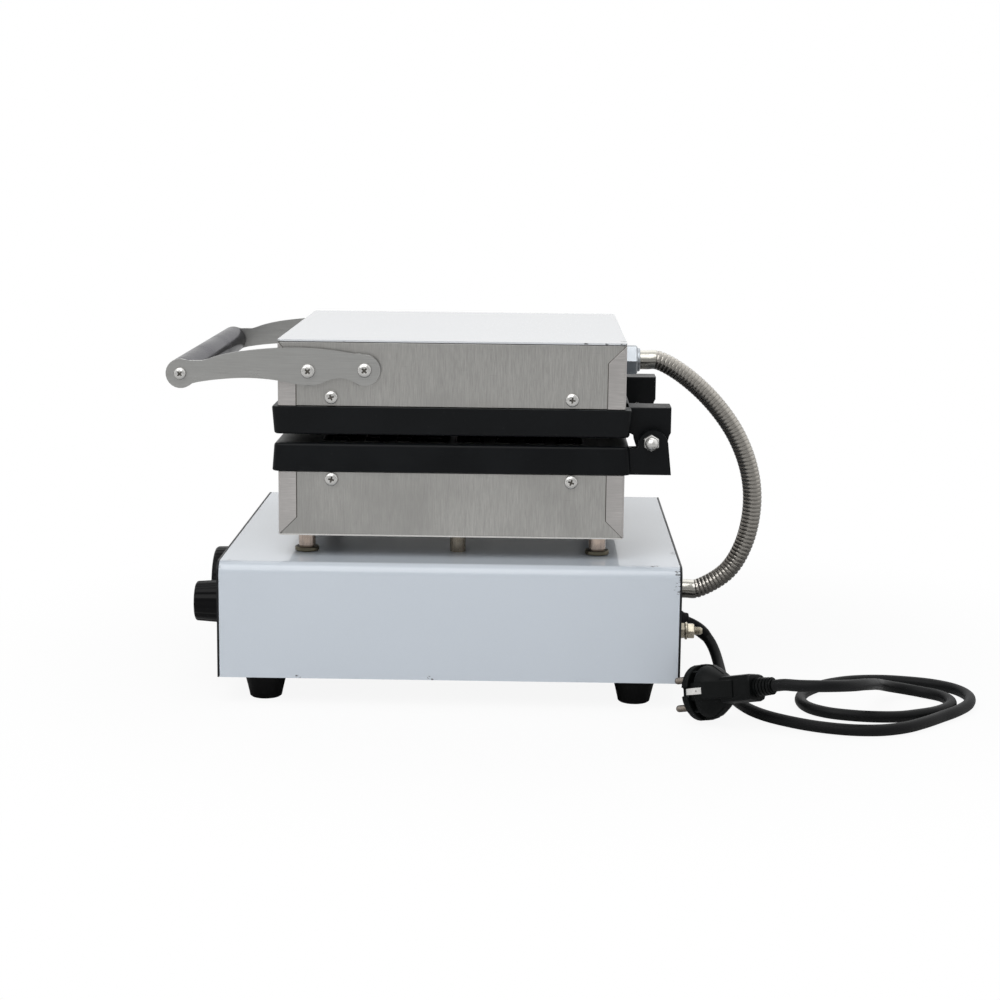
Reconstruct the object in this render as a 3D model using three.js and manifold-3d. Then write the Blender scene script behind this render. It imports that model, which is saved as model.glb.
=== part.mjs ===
// A single-head square waffle baker: a box base on rubber feet, two heated cast plates in steel shells,
// a lid that swings up on a rear hinge rod, a bar handle, two front knobs, and a mains lead with its plug.
// Millimetres, +Z up, the front with the knobs towards -Y, the hinge towards +Y.
import * as THREE from "three";
import { mergeVertices } from "three/addons/utils/BufferGeometryUtils.js";
import Module from "manifold-3d";

const wasm = await Module();
wasm.setup();

// Clearances that many pieces share
const seatGap = 0.3;
const boreGap = 0.3;
const cutOverrun = 1;
const roundSides = 18;
const smallSides = 10;
const gripSides = 24;
const standoffSides = 14;
const dialSides = 32;
const plugSides = 24;
const armCurveSegments = 3;
const capillarySteps = 36;

// Base housing
const baseWidth = 300;
const baseDepth = 320;
const baseHeight = 81;
const footHeight = 19;
const coverSheet = 1.2;
const coverBend = 8;
const bendSegments = 5;
const panelSheet = 1.2;
const flangeWidth = 9;
const baseBottom = footHeight;
const baseTop = footHeight + baseHeight;
const panelInside = baseDepth / 2 - panelSheet;

// Rubber feet and their screws
const footTopRadius = 15.5;
const footBottomRadius = 11.2;
const footInsetX = 25;
const footInsetY = 30.5;
const footBore = 2.9;
const footPocketRadius = 6.5;
const footPocketDepth = 9;
const footScrewHead = 4.8;
const footScrewHeadHeight = 3;
const footScrewRadius = 2.5;
const footScrewSpare = 6;

// Vents in the bottom plate
const ventLength = 60;
const ventWidth = 4;
const ventPitch = 12;
const ventsPerRow = 7;

// Standoffs between base and lower shell, and the dark sleeve that carries the wires up
const standoffHeight = 15;
const standoffRadius = 6;
const standoffFlangeRadius = 8.5;
const standoffFlangeHeight = 3;
const standoffStudRadius = 2.8;
const standoffStudLength = 5;
const standoffInsetX = 23;
const standoffInsetY = 17.5;
const sleeveRadius = 6;
const sleeveBore = 3.8;
const sleeveInsetX = 28;
const sleeveOffsetY = 4;
const sleeveReach = 5;

// Head: the two shells
const headWidth = 250;
const headDepth = 240;
const lowerShellHeight = 44.8;
const upperShellHeight = 44.1;
const shellSheet = 1;
const flapWidth = 12;
const flapSheet = 0.8;
const topCoverSheet = 1.2;
const topCoverCorner = 3;
const lowerShellBottom = baseTop + standoffHeight;
const lowerShellTop = lowerShellBottom + lowerShellHeight;
const sideFace = headWidth / 2 - flapSheet;

// Cast plates, the parting gap between them and the waffle pattern
const plateHeight = 19.6;
const partingGap = 6.3;
const plateOverhangY = 3;
const plateDepth = headDepth + 2 * plateOverhangY;
const plateOverhangX = 0.2;
const plateWidth = headWidth + 2 * plateOverhangX;
const plateDraft = 1.2;
const plateCorner = 4;
const plateCornerSegments = 3;
const panRimX = 16.2;
const panRimY = 32;
const recessWidth = plateWidth - 2 * panRimX;
const recessDepth = plateDepth - 2 * panRimY;
const recessFloor = 8;
const pegColumns = 10;
const pegRows = 8;
const pegHeight = 6.2;
const pegBaseShare = 0.66;
const pegTopShare = 0.44;
const barWidth = 5;
const barDrop = 1;
const lowerPlateBottom = lowerShellTop + seatGap;
const lowerPlateTop = lowerPlateBottom + plateHeight;
const upperPlateBottom = lowerPlateTop + partingGap;
const upperPlateTop = upperPlateBottom + plateHeight;
const upperShellBottom = upperPlateTop + seatGap;
const upperShellTop = upperShellBottom + upperShellHeight;

// Screws that hold the shells to lugs on the plates
const shellScrewY = 83;
const shellScrewDrop = 5;
const upperScrewRise = 6;
const screwHeadRadius = 4.7;
const screwHeadHeight = 3;
const screwRadius = 2.2;
const screwLength = 12;
const lugWidth = 16;
const lugDepth = 12;
const lugHeight = 12;

// Hinge: ears on the lower plate, brackets on the upper plate, one rod with two domed nuts
const hingeBehindPlate = 15;
const hingeAxisY = plateDepth / 2 + hingeBehindPlate;
const hingeAxisZ = lowerPlateTop + partingGap / 2;
const rodRadius = 3;
const earInset = 4;
const earThickness = 11;
const earRadius = 10.5;
const earCentreDrop = 2.5;
const earCentreBack = 1.5;
const earFootReach = 14.2;
const earFillet = 1.6;
const bracketThickness = 26;
const bracketReach = 14.3;
const bracketNeckRise = 5;
const knuckleRadius = 10.8;
const hingeSideGap = 0.6;
const nutRadius = 5.8;
const nutHeight = 5;
const domeRadius = 4.6;
const domeHeight = 6.5;
const nutBoreDepth = 6;
const earOuter = plateWidth / 2 - earInset;
const earInner = earOuter - earThickness;
const bracketOuter = earInner - hingeSideGap;
const bracketInner = bracketOuter - bracketThickness;

// Handle: two flat arms and the round grip
const armSheet = 3;
const armLength = 126.7;
const armRearY = -59.7;
const armRearAboveShell = 25.2;
const gripDrop = 3.7;
const gripRadius = 10.2;
const armRearRadius = 11;
const armScrewSpacing = 38.9;
const armScrewDrop = 1;
const armScrewHead = 4.9;
const armScrewLength = 10;
const gripScrewHead = 4.2;
const gripScrewLength = 14;
const armScrewZ = upperShellBottom + armRearAboveShell;
const gripY = armRearY - armLength;
const gripZ = armScrewZ - gripDrop;
const armInner = headWidth / 2 + seatGap;
const armOuter = armInner + armSheet;
// Points along the arm's edges: how far from the rear screw to the grip, and how high over the line of screws
const armTopShares = [
  [0.02, 0.085],
  [0.12, 0.1005],
  [0.25, 0.1155],
  [0.38, 0.1195],
  [0.53, 0.1115],
  [0.71, 0.089],
  [0.81, 0.0655],
  [0.88, 0.0395],
  [0.957, 0.0385],
];
const armBottomShares = [
  [0.937, -0.0797],
  [0.81, -0.0603],
  [0.65, -0.0491],
  [0.5, -0.0573],
];
const armLobeShares = [
  [0.4, -0.0745],
  [0.31, -0.0886],
  [0.255, -0.0805],
  [0.19, -0.0535],
  [0.123, -0.0413],
  [0.07, -0.0545],
  [0.033, -0.0803],
];

// Knobs on the front panel
const knobZ = 61.3;
const dialX = 30;
const dialRadius = 27.5;
const dialHeight = 17.8;
const dialChamfer = 2;
const timerX = 98;
const timerRadius = 15.6;
const timerHeight = 21.6;
const timerTaper = 0.7;
const timerChamfer = 2.7;
const fluteCount = 12;
const fluteSteps = 4;
const fluteDepth = 0.9;
const knobGap = 0.8;
const shaftRadius = 3;
const pointerWidth = 2;
const pointerRise = 0.7;

// Switch bodies behind the panel
const thermostatRadius = 19;
const thermostatDepth = 26;
const timerBodySide = 38;
const timerBodyDepth = 30;
const capillaryRadius = 1.2;
const bulbRadius = 3;
const bulbLength = 70;
const bulbDrop = 3.6;

// Signal lamps
const lampRadius = 6;
const lampFlangeRadius = 7.5;
const lampFlange = 1.6;
const lampRise = 3.4;
const lampBodyDepth = 18;
const lampFirstX = -55;
const lampPitch = 38;

// Heating rods and insulation
const heaterRadius = 4;
const heaterRuns = 5;
const heaterRunShare = 0.6;
const heaterSpanShare = 0.62;
const heaterBowShare = 0.28;
const heaterSides = 8;
const heaterStepsPerRun = 7;
const insulationHeight = 12;
const insulationMargin = 14;
const insulationCableRoom = 46;

// Fittings on the back
const hoseX = 20;
const hoseRadius = 7;
const hoseRoot = 5.9;
const hoseBore = 4.3;
const hoseRibPitch = 3.2;
const hoseSides = 8;
const hoseBoreEvery = 5;
const hoseReach = 87.3;
const hoseHighZ = 229.8;
const hoseLowZ = 58.6;
const upperHex = 11.6;
const upperHexHeight = 11.7;
const lowerHex = 9.4;
const lowerHexHeight = 5;
const fittingStubRadius = 6.2;
const fittingStubLength = 9;
const fittingTurn = -10;
// The hose's bow: how far behind the upper fitting, and how far up from the lower fitting
const hoseBowShares = [
  [0.34, 0.955],
  [0.61, 0.84],
  [0.835, 0.69],
  [0.965, 0.53],
  [1, 0.375],
  [0.94, 0.205],
  [0.8, 0.08],
];

const glandX = 40;
const glandZ = 36.5;
const glandHexRadius = 12.6;
const glandHexHeight = 5.6;
const glandDomeRadius = 9.4;
const glandDomeHeight = 4;
const glandTailRadius = 8.6;
const glandTailEnd = 7.6;
const glandTailLength = 3;
const glandBore = 6.4;
const glandStubRadius = 8.4;
const glandStubLength = 10;

const studX = 90;
const studZ = 42.6;
const studRadius = 3;
const studLength = 19;
const studNut = 5.9;
const studNutHeight = 5;
const studWasher = 6.3;
const studWasherHeight = 1.6;
const studInside = 8;

const blockX = 40;
const blockBack = 48;
const blockY = baseDepth / 2 - blockBack;
const blockLength = 56;
const blockWidth = 26;
const blockHeight = 22;
const blockPostHeight = 6;
const blockPostRadius = 4.4;
const blockPosts = 3;

// Mains lead and plug. The lead's points are places on the floor, chosen by hand.
const cordRadius = 4;
const cordSides = 8;
const cordStepDiameters = 1.95;
const cordDivisions = 2000;
const cordRest = cordRadius + 0.35;
const plugRadius = 19;
const plugX = 171.8;
const plugY = 171.2;
const plugTurn = 41;
const plugTilt = 15;
const plugRoll = -12;
const plugClearance = 0.2;
const plugRim = 5;
const plugWaistRadius = 13;
const plugWaistAt = 32;
const plugNeckRadius = 9.4;
const plugNeckEnd = 50;
const plugReliefStart = 7;
const plugReliefEnd = 5.2;
const plugLength = 63.3;
const pinRadius = 2.4;
const pinLength = 19;
const pinSpacing = 19;
const plugNotchWidth = 6;
const plugNotchDepth = 3.5;
const plugNotchLength = 15;

// Shared helpers

// A closed mesh as a solid that can be cut and joined.
function solidOf(geometry) {
  const bare = geometry.clone();
  bare.deleteAttribute("normal");
  bare.deleteAttribute("uv");
  const merged = mergeVertices(bare, 1e-4);
  const mesh = new wasm.Mesh({
    numProp: 3,
    vertProperties: new Float32Array(merged.attributes.position.array),
    triVerts: new Uint32Array(merged.index.array),
  });
  return new wasm.Manifold(mesh);
}

function geometryOf(solid) {
  const mesh = solid.getMesh();
  const geometry = new THREE.BufferGeometry();
  const stride = mesh.numProp;
  const places = new Float32Array(mesh.numVert * 3);
  for (let i = 0; i < mesh.numVert; i++) {
    places.set(mesh.vertProperties.subarray(i * stride, i * stride + 3), i * 3);
  }
  geometry.setAttribute("position", new THREE.BufferAttribute(places, 3));
  geometry.setIndex(new THREE.BufferAttribute(new Uint32Array(mesh.triVerts), 1));
  return geometry;
}

function joined(first, ...rest) {
  return rest.reduce((sum, piece) => sum.add(piece), first);
}

function cut(body, ...cutters) {
  return cutters.reduce((left, cutter) => left.subtract(cutter), body);
}

// A box between two corners.
function block(low, high) {
  const size = high.map((value, i) => value - low[i]);
  const middle = high.map((value, i) => (value + low[i]) / 2);
  const geometry = new THREE.BoxGeometry(...size);
  geometry.translate(...middle);
  return solidOf(geometry);
}

// Directions that a turned or extruded piece can point in.
const turns = {
  x: new THREE.Matrix4().makeRotationZ(-Math.PI / 2),
  y: new THREE.Matrix4(),
  z: new THREE.Matrix4().makeRotationX(Math.PI / 2),
};

// A round piece from a profile of [radius, height] pairs, standing on a place and pointing along an axis.
function turned(profile, axis, place, sides = roundSides, flip = 1) {
  const points = profile.map(([radius, height]) => new THREE.Vector2(radius, height * flip));
  if (flip < 0) points.reverse();
  const geometry = new THREE.LatheGeometry(points, sides);
  geometry.applyMatrix4(turns[axis]);
  geometry.translate(...place);
  return solidOf(geometry);
}

// A round rod with flat ends.
function rod(radius, length, axis, place, sides = roundSides, flip = 1) {
  return turned([[0, 0], [radius, 0], [radius, length], [0, length]], axis, place, sides, flip);
}

// A flat outline made thick along an axis, from one height to another.
function slab(shape, axis, from, to, segments = bendSegments) {
  const geometry = new THREE.ExtrudeGeometry(shape, {
    depth: to - from,
    bevelEnabled: false,
    curveSegments: segments,
  });
  if (axis === "x") {
    const across = new THREE.Vector3(0, 1, 0);
    const up = new THREE.Vector3(0, 0, 1);
    const out = new THREE.Vector3(1, 0, 0);
    geometry.applyMatrix4(new THREE.Matrix4().makeBasis(across, up, out));
    geometry.translate(from, 0, 0);
  }
  if (axis === "y") {
    geometry.rotateX(Math.PI / 2);
    geometry.translate(0, to, 0);
  }
  if (axis === "z") geometry.translate(0, 0, from);
  return solidOf(geometry);
}

function polygon(points) {
  return new THREE.Shape(points.map(([x, y]) => new THREE.Vector2(x, y)));
}

// A rectangle with round corners, centred on the origin.
function roundedRectangle(width, depth, corner) {
  const shape = new THREE.Shape();
  const x = width / 2;
  const y = depth / 2;
  shape.moveTo(-x + corner, -y);
  shape.lineTo(x - corner, -y);
  shape.absarc(x - corner, -y + corner, corner, -Math.PI / 2, 0);
  shape.lineTo(x, y - corner);
  shape.absarc(x - corner, y - corner, corner, 0, Math.PI / 2);
  shape.lineTo(-x + corner, y);
  shape.absarc(-x + corner, y - corner, corner, Math.PI / 2, Math.PI);
  shape.lineTo(-x, -y + corner);
  shape.absarc(-x + corner, -y + corner, corner, Math.PI, Math.PI * 1.5);
  return shape;
}

// A six-sided bar along an axis.
function hexBar(corner, length, axis, place, turnDegrees = 0) {
  const geometry = new THREE.CylinderGeometry(corner, corner, length, 6);
  geometry.rotateY(THREE.MathUtils.degToRad(turnDegrees));
  geometry.translate(0, length / 2, 0);
  geometry.applyMatrix4(turns[axis]);
  geometry.translate(...place);
  return solidOf(geometry);
}

// A round section swept along a curve.
function sweep(curve, radius, sides, steps) {
  const shape = new THREE.Shape();
  for (let i = 0; i < sides; i++) {
    const angle = (i / sides) * Math.PI * 2;
    const x = radius * Math.cos(angle);
    const y = radius * Math.sin(angle);
    if (i === 0) shape.moveTo(x, y);
    else shape.lineTo(x, y);
  }
  return new THREE.ExtrudeGeometry(shape, { steps, bevelEnabled: false, extrudePath: curve });
}

// Base housing

// The outline of the base seen from the front: straight sides and round top bends.
function baseOutline(inset, bottom) {
  const x = baseWidth / 2 - inset;
  const top = baseTop - inset;
  const bend = coverBend - inset;
  const shape = new THREE.Shape();
  shape.moveTo(-x, bottom);
  shape.lineTo(x, bottom);
  shape.lineTo(x, top - bend);
  shape.absarc(x - bend, top - bend, bend, 0, Math.PI / 2);
  shape.lineTo(-x + bend, top);
  shape.absarc(-x + bend, top - bend, bend, Math.PI / 2, Math.PI);
  return shape;
}

const standoffX = headWidth / 2 - standoffInsetX;
const standoffY = headDepth / 2 - standoffInsetY;
const sleeveX = headWidth / 2 - sleeveInsetX;
const corners = [
  ["front_right", 1, -1],
  ["front_left", -1, -1],
  ["rear_right", 1, 1],
  ["rear_left", -1, 1],
];

function standoffHoles(bottom, top) {
  const radius = standoffStudRadius + boreGap;
  const length = top - bottom;
  return corners.map(([, sx, sy]) =>
    rod(radius, length, "z", [sx * standoffX, sy * standoffY, bottom], smallSides),
  );
}

function sleeveHole(bottom, top) {
  return rod(sleeveRadius + boreGap, top - bottom, "z", [sleeveX, sleeveOffsetY, bottom], roundSides);
}

function makeBaseCover() {
  const end = panelInside - seatGap;
  const outer = slab(baseOutline(0, baseBottom), "y", -end, end);
  const hollow = slab(
    baseOutline(coverSheet, baseBottom - cutOverrun),
    "y",
    -end - cutOverrun,
    end + cutOverrun,
  );
  const flangeBottom = baseBottom + panelSheet + seatGap;
  const flanges = [-1, 1].map((side) => {
    const outerX = side * (baseWidth / 2 - coverSheet / 2);
    const innerX = side * (baseWidth / 2 - coverSheet - flangeWidth);
    return block(
      [Math.min(outerX, innerX), -end, flangeBottom],
      [Math.max(outerX, innerX), end, flangeBottom + coverSheet],
    );
  });
  const holeBottom = baseTop - coverSheet - cutOverrun;
  const holeTop = baseTop + cutOverrun;
  return cut(
    joined(cut(outer, hollow), ...flanges),
    ...standoffHoles(holeBottom, holeTop),
    sleeveHole(holeBottom, holeTop),
  );
}

function makeFrontPanel() {
  const panel = slab(baseOutline(0, baseBottom), "y", -baseDepth / 2, -panelInside);
  const hole = (radius, x) =>
    rod(radius + boreGap, panelSheet + 2 * cutOverrun, "y", [x, -baseDepth / 2 - cutOverrun, knobZ]);
  return cut(
    panel,
    hole(shaftRadius, dialX),
    hole(shaftRadius, timerX),
    hole(lampRadius, lampFirstX),
    hole(lampRadius, lampFirstX - lampPitch),
  );
}

function makeBackPanel() {
  const panel = slab(baseOutline(0, baseBottom), "y", panelInside, baseDepth / 2);
  const hole = (radius, x, z) =>
    rod(radius + boreGap, panelSheet + 2 * cutOverrun, "y", [x, panelInside - cutOverrun, z]);
  return cut(
    panel,
    hole(fittingStubRadius, hoseX, hoseLowZ),
    hole(glandStubRadius, glandX, glandZ),
    hole(studRadius, studX, studZ),
  );
}

const footX = baseWidth / 2 - footInsetX;
const footY = baseDepth / 2 - footInsetY;

function makeBottomPlate() {
  const x = baseWidth / 2 - coverSheet - seatGap;
  const y = panelInside - seatGap;
  const top = baseBottom + panelSheet;
  const plate = block([-x, -y, baseBottom], [x, y, top]);
  const cutters = corners.map(([, sx, sy]) =>
    rod(
      footScrewRadius + boreGap,
      panelSheet + 2 * cutOverrun,
      "z",
      [sx * footX, sy * footY, baseBottom - cutOverrun],
      smallSides,
    ),
  );
  for (const row of [-1, 1]) {
    for (let i = 0; i < ventsPerRow; i++) {
      const ventY = (i - (ventsPerRow - 1) / 2) * ventPitch;
      const ventX = row * ventLength;
      cutters.push(
        block(
          [ventX - ventLength / 2, ventY - ventWidth / 2, baseBottom - cutOverrun],
          [ventX + ventLength / 2, ventY + ventWidth / 2, top + cutOverrun],
        ),
      );
    }
  }
  return cut(plate, ...cutters);
}

function makeFoot(sx, sy) {
  const top = baseBottom - seatGap;
  const body = turned(
    [[0, 0], [footBottomRadius, 0], [footTopRadius, top], [0, top]],
    "z",
    [sx * footX, sy * footY, 0],
  );
  const place = [sx * footX, sy * footY, -cutOverrun];
  return cut(
    body,
    rod(footPocketRadius, footPocketDepth + cutOverrun, "z", place, smallSides),
    rod(footBore, top + 2 * cutOverrun, "z", place, smallSides),
  );
}

function makeFootScrew(sx, sy) {
  const head = footPocketDepth - seatGap - footScrewHeadHeight;
  const tip = baseBottom + panelSheet + footScrewSpare;
  const shoulder = footPocketDepth - seatGap;
  return turned(
    [
      [0, head],
      [footScrewHead * 0.7, head],
      [footScrewHead, head + footScrewHeadHeight / 2],
      [footScrewHead, shoulder],
      [footScrewRadius, shoulder],
      [footScrewRadius, tip],
      [0, tip],
    ],
    "z",
    [sx * footX, sy * footY, 0],
    smallSides,
  );
}

function makeStandoff(sx, sy) {
  const low = baseTop + seatGap;
  const high = lowerShellBottom - seatGap;
  return turned(
    [
      [0, low - standoffStudLength],
      [standoffStudRadius, low - standoffStudLength],
      [standoffStudRadius, low],
      [standoffFlangeRadius, low],
      [standoffFlangeRadius, low + standoffFlangeHeight],
      [standoffRadius, low + standoffFlangeHeight],
      [standoffRadius, high],
      [standoffStudRadius, high],
      [standoffStudRadius, high + standoffStudLength],
      [0, high + standoffStudLength],
    ],
    "z",
    [sx * standoffX, sy * standoffY, 0],
    standoffSides,
  );
}

function makeSleeve() {
  const low = baseTop - coverSheet - sleeveReach;
  const high = lowerShellBottom + shellSheet + sleeveReach;
  return turned(
    [
      [sleeveBore, low],
      [sleeveRadius, low],
      [sleeveRadius, high],
      [sleeveBore, high],
      [sleeveBore, low],
    ],
    "z",
    [sleeveX, sleeveOffsetY, 0],
    roundSides,
  );
}

// Shells of the head

// An open sheet box with flaps folded round its corners, mitred at the closed end.
function makeShell(low, high, closedAtTop) {
  const x = sideFace;
  const y = headDepth / 2;
  const outer = block([-x, -y, low], [x, y, high]);
  const floor = closedAtTop ? low - cutOverrun : low + shellSheet;
  const roof = closedAtTop ? high - shellSheet : high + cutOverrun;
  const hollow = block([-x + shellSheet, -y + shellSheet, floor], [x - shellSheet, y - shellSheet, roof]);
  const flaps = [];
  for (const side of [-1, 1]) {
    for (const end of [-1, 1]) {
      const closed = closedAtTop ? high : low;
      const open = closedAtTop ? low : high;
      const inward = closedAtTop ? -flapWidth : flapWidth;
      const outline = polygon([
        [end * y, closed],
        [end * (y - flapWidth), closed + inward],
        [end * (y - flapWidth), open],
        [end * y, open],
      ]);
      const inner = x - shellSheet / 2;
      const from = side > 0 ? inner : -headWidth / 2;
      flaps.push(slab(outline, "x", from, from + headWidth / 2 - inner));
    }
  }
  return joined(cut(outer, hollow), ...flaps);
}

// Holes through both side walls of a shell.
function sideHoles(radius, y, z) {
  const length = 4 * shellSheet + 2 * cutOverrun;
  return [-1, 1].map((side) =>
    rod(radius + boreGap, length, "x", [side * sideFace - length / 2, y, z], smallSides),
  );
}

const lowerScrewZ = lowerShellTop - shellScrewDrop;
const upperScrewZ = upperShellBottom + upperScrewRise;
const armFrontScrewY = armRearY - armScrewSpacing;
const armFrontScrewZ = armScrewZ - armScrewDrop;

function makeLowerShell() {
  const shell = makeShell(lowerShellBottom, lowerShellTop, false);
  const holeBottom = lowerShellBottom - cutOverrun;
  const holeTop = lowerShellBottom + shellSheet + cutOverrun;
  return cut(
    shell,
    ...standoffHoles(holeBottom, holeTop),
    sleeveHole(holeBottom, holeTop),
    ...sideHoles(screwRadius, -shellScrewY, lowerScrewZ),
    ...sideHoles(screwRadius, shellScrewY, lowerScrewZ),
  );
}

function makeUpperShell() {
  const shell = makeShell(upperShellBottom, upperShellTop, true);
  const y = headDepth / 2;
  return cut(
    shell,
    ...sideHoles(screwRadius, -shellScrewY, upperScrewZ),
    ...sideHoles(screwRadius, shellScrewY, upperScrewZ),
    ...sideHoles(screwRadius, armRearY, armScrewZ),
    ...sideHoles(screwRadius, armFrontScrewY, armFrontScrewZ),
    rod(
      fittingStubRadius + boreGap,
      shellSheet + 2 * cutOverrun,
      "y",
      [hoseX, y - shellSheet - cutOverrun, hoseHighZ],
    ),
  );
}

function makeTopCover() {
  const low = upperShellTop + seatGap;
  const shape = roundedRectangle(headWidth, headDepth, topCoverCorner);
  return slab(shape, "z", low, low + topCoverSheet, plateCornerSegments);
}

// Cast plates

// A thick plate whose sides slope out towards its shell.
function draftedPlate(low, high, wideAtTop) {
  const shape = roundedRectangle(plateWidth, plateDepth, plateCorner);
  const geometry = new THREE.ExtrudeGeometry(shape, {
    depth: high - low,
    bevelEnabled: false,
    curveSegments: plateCornerSegments,
  });
  geometry.translate(0, 0, low);
  const places = geometry.attributes.position;
  for (let i = 0; i < places.count; i++) {
    const share = (places.getZ(i) - low) / (high - low);
    const grow = plateDraft * (wideAtTop ? share : 1 - share);
    places.setX(i, places.getX(i) + Math.sign(places.getX(i)) * grow);
    places.setY(i, places.getY(i) + Math.sign(places.getY(i)) * grow);
  }
  return solidOf(geometry);
}

// The waffle pattern: a sunk pan with a cross bar and rows of blunt pegs. up is 1 on the lower plate, -1 above.
function wafflePan(plate, face, up) {
  const deep = face - up * recessFloor;
  const past = face + up * cutOverrun;
  const x = recessWidth / 2;
  const y = recessDepth / 2;
  const low = Math.min(deep, past);
  const high = Math.max(deep, past);
  let result = cut(plate, block([-x, -y, low], [x, y, high]));
  const root = deep - up * cutOverrun;
  const barTop = face - up * barDrop;
  const barLow = Math.min(root, barTop);
  const barHigh = Math.max(root, barTop);
  const half = barWidth / 2;
  result = joined(
    result,
    block([-half, -y - cutOverrun, barLow], [half, y + cutOverrun, barHigh]),
    block([-x - cutOverrun, -half, barLow], [x + cutOverrun, half, barHigh]),
  );
  const pitchX = (recessWidth - barWidth) / pegColumns;
  const pitchY = (recessDepth - barWidth) / pegRows;
  const pitch = Math.min(pitchX, pitchY);
  const base = (pitch * pegBaseShare) / Math.SQRT2;
  const tip = (pitch * pegTopShare) / Math.SQRT2;
  const pegs = [];
  for (let i = 0; i < pegColumns; i++) {
    for (let j = 0; j < pegRows; j++) {
      const column = i - (pegColumns - 1) / 2;
      const row = j - (pegRows - 1) / 2;
      const peg = new THREE.CylinderGeometry(tip, base, pegHeight + cutOverrun, 4);
      peg.rotateY(Math.PI / 4);
      peg.rotateX((up * Math.PI) / 2);
      const pegX = column * pitchX + Math.sign(column) * half;
      const pegY = row * pitchY + Math.sign(row) * half;
      peg.translate(pegX, pegY, deep + (up * (pegHeight - cutOverrun)) / 2);
      pegs.push(solidOf(peg));
    }
  }
  return joined(result, ...pegs);
}

// Lugs inside the shells that the shell screws bite into.
function screwLugs(low, high, screwZ) {
  const outer = sideFace - shellSheet - seatGap;
  const lugs = [];
  for (const side of [-1, 1]) {
    for (const end of [-1, 1]) {
      const near = side * (outer - lugDepth);
      const far = side * outer;
      const middle = end * shellScrewY;
      const lug = block(
        [Math.min(near, far), middle - lugWidth / 2, low],
        [Math.max(near, far), middle + lugWidth / 2, high],
      );
      const length = lugDepth + 2 * cutOverrun;
      const from = Math.min(near, far) - cutOverrun;
      lugs.push(cut(lug, rod(screwRadius + boreGap, length, "x", [from, middle, screwZ], smallSides)));
    }
  }
  return lugs;
}

// The outline of a lower ear, seen from the side.
function earOutline() {
  const root = plateDepth / 2 - plateCorner;
  const centreY = hingeAxisY + earCentreBack;
  const centreZ = hingeAxisZ - earCentreDrop;
  const shape = new THREE.Shape();
  shape.moveTo(root, lowerPlateBottom);
  shape.lineTo(hingeAxisY + earFootReach, lowerPlateBottom);
  shape.lineTo(centreY + earRadius, centreZ);
  shape.absarc(centreY, centreZ, earRadius, 0, Math.PI);
  const step = lowerPlateTop - plateDraft;
  shape.lineTo(centreY - earRadius, step + earFillet);
  shape.absarc(centreY - earRadius - earFillet, step + earFillet, earFillet, 0, -Math.PI / 2, true);
  shape.lineTo(root, step);
  return shape;
}

// The outline of an upper bracket: a deep web whose lower corner is cut away round the knuckle.
function bracketOutline() {
  const root = plateDepth / 2 - plateCorner;
  const back = hingeAxisY + bracketReach;
  const neck = hingeAxisZ + bracketNeckRise;
  const shape = new THREE.Shape();
  shape.moveTo(root, upperPlateTop);
  shape.lineTo(root, neck);
  shape.lineTo(hingeAxisY - knuckleRadius, neck);
  shape.absarc(hingeAxisY, hingeAxisZ, knuckleRadius, Math.PI, Math.PI * 2);
  shape.lineTo(back, upperPlateTop);
  return shape;
}

function hingeBore(from, to) {
  return rod(rodRadius + boreGap, to - from, "x", [from, hingeAxisY, hingeAxisZ], roundSides);
}

function makeLowerPlate() {
  const body = draftedPlate(lowerPlateBottom, lowerPlateTop, false);
  const pan = wafflePan(body, lowerPlateTop, 1);
  const lugTop = lowerPlateBottom + cutOverrun;
  const lugs = screwLugs(lowerScrewZ - lugHeight / 2, lugTop, lowerScrewZ);
  const ears = [-1, 1].map((side) => {
    const from = side > 0 ? earInner : -earOuter;
    return slab(earOutline(), "x", from, from + earThickness);
  });
  return cut(
    joined(pan, ...lugs, ...ears),
    hingeBore(-earOuter - cutOverrun, earOuter + cutOverrun),
  );
}

function makeUpperPlate() {
  const body = draftedPlate(upperPlateBottom, upperPlateTop, true);
  const pan = wafflePan(body, upperPlateBottom, -1);
  const lugBottom = upperPlateTop - cutOverrun;
  const lugs = screwLugs(lugBottom, upperScrewZ + lugHeight / 2, upperScrewZ);
  const brackets = [-1, 1].map((side) => {
    const from = side > 0 ? bracketInner : -bracketOuter;
    return slab(bracketOutline(), "x", from, from + bracketThickness);
  });
  return cut(
    joined(pan, ...lugs, ...brackets),
    hingeBore(-bracketOuter - cutOverrun, bracketOuter + cutOverrun),
  );
}

function makeHingeRod() {
  const half = earOuter + seatGap + nutBoreDepth - seatGap;
  return rod(rodRadius, 2 * half, "x", [-half, hingeAxisY, hingeAxisZ], roundSides);
}

// A hexagon nut with a closed dome, on one end of the rod.
function makeDomedNut(side) {
  const seat = earOuter + seatGap;
  const nut = hexBar(nutRadius, nutHeight, "x", [0, 0, 0], 30);
  const dome = turned(
    [
      [0, nutHeight - cutOverrun],
      [domeRadius, nutHeight - cutOverrun],
      [domeRadius, nutHeight + domeHeight * 0.35],
      [domeRadius * 0.82, nutHeight + domeHeight * 0.72],
      [domeRadius * 0.45, nutHeight + domeHeight * 0.95],
      [0, nutHeight + domeHeight],
    ],
    "x",
    [0, 0, 0],
    smallSides,
  );
  const bore = rod(rodRadius + boreGap, nutBoreDepth + cutOverrun, "x", [-cutOverrun, 0, 0], smallSides);
  const geometry = geometryOf(cut(joined(nut, dome), bore));
  if (side < 0) geometry.rotateZ(Math.PI);
  geometry.translate(side * seat, hingeAxisY, hingeAxisZ);
  return geometry;
}

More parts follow.
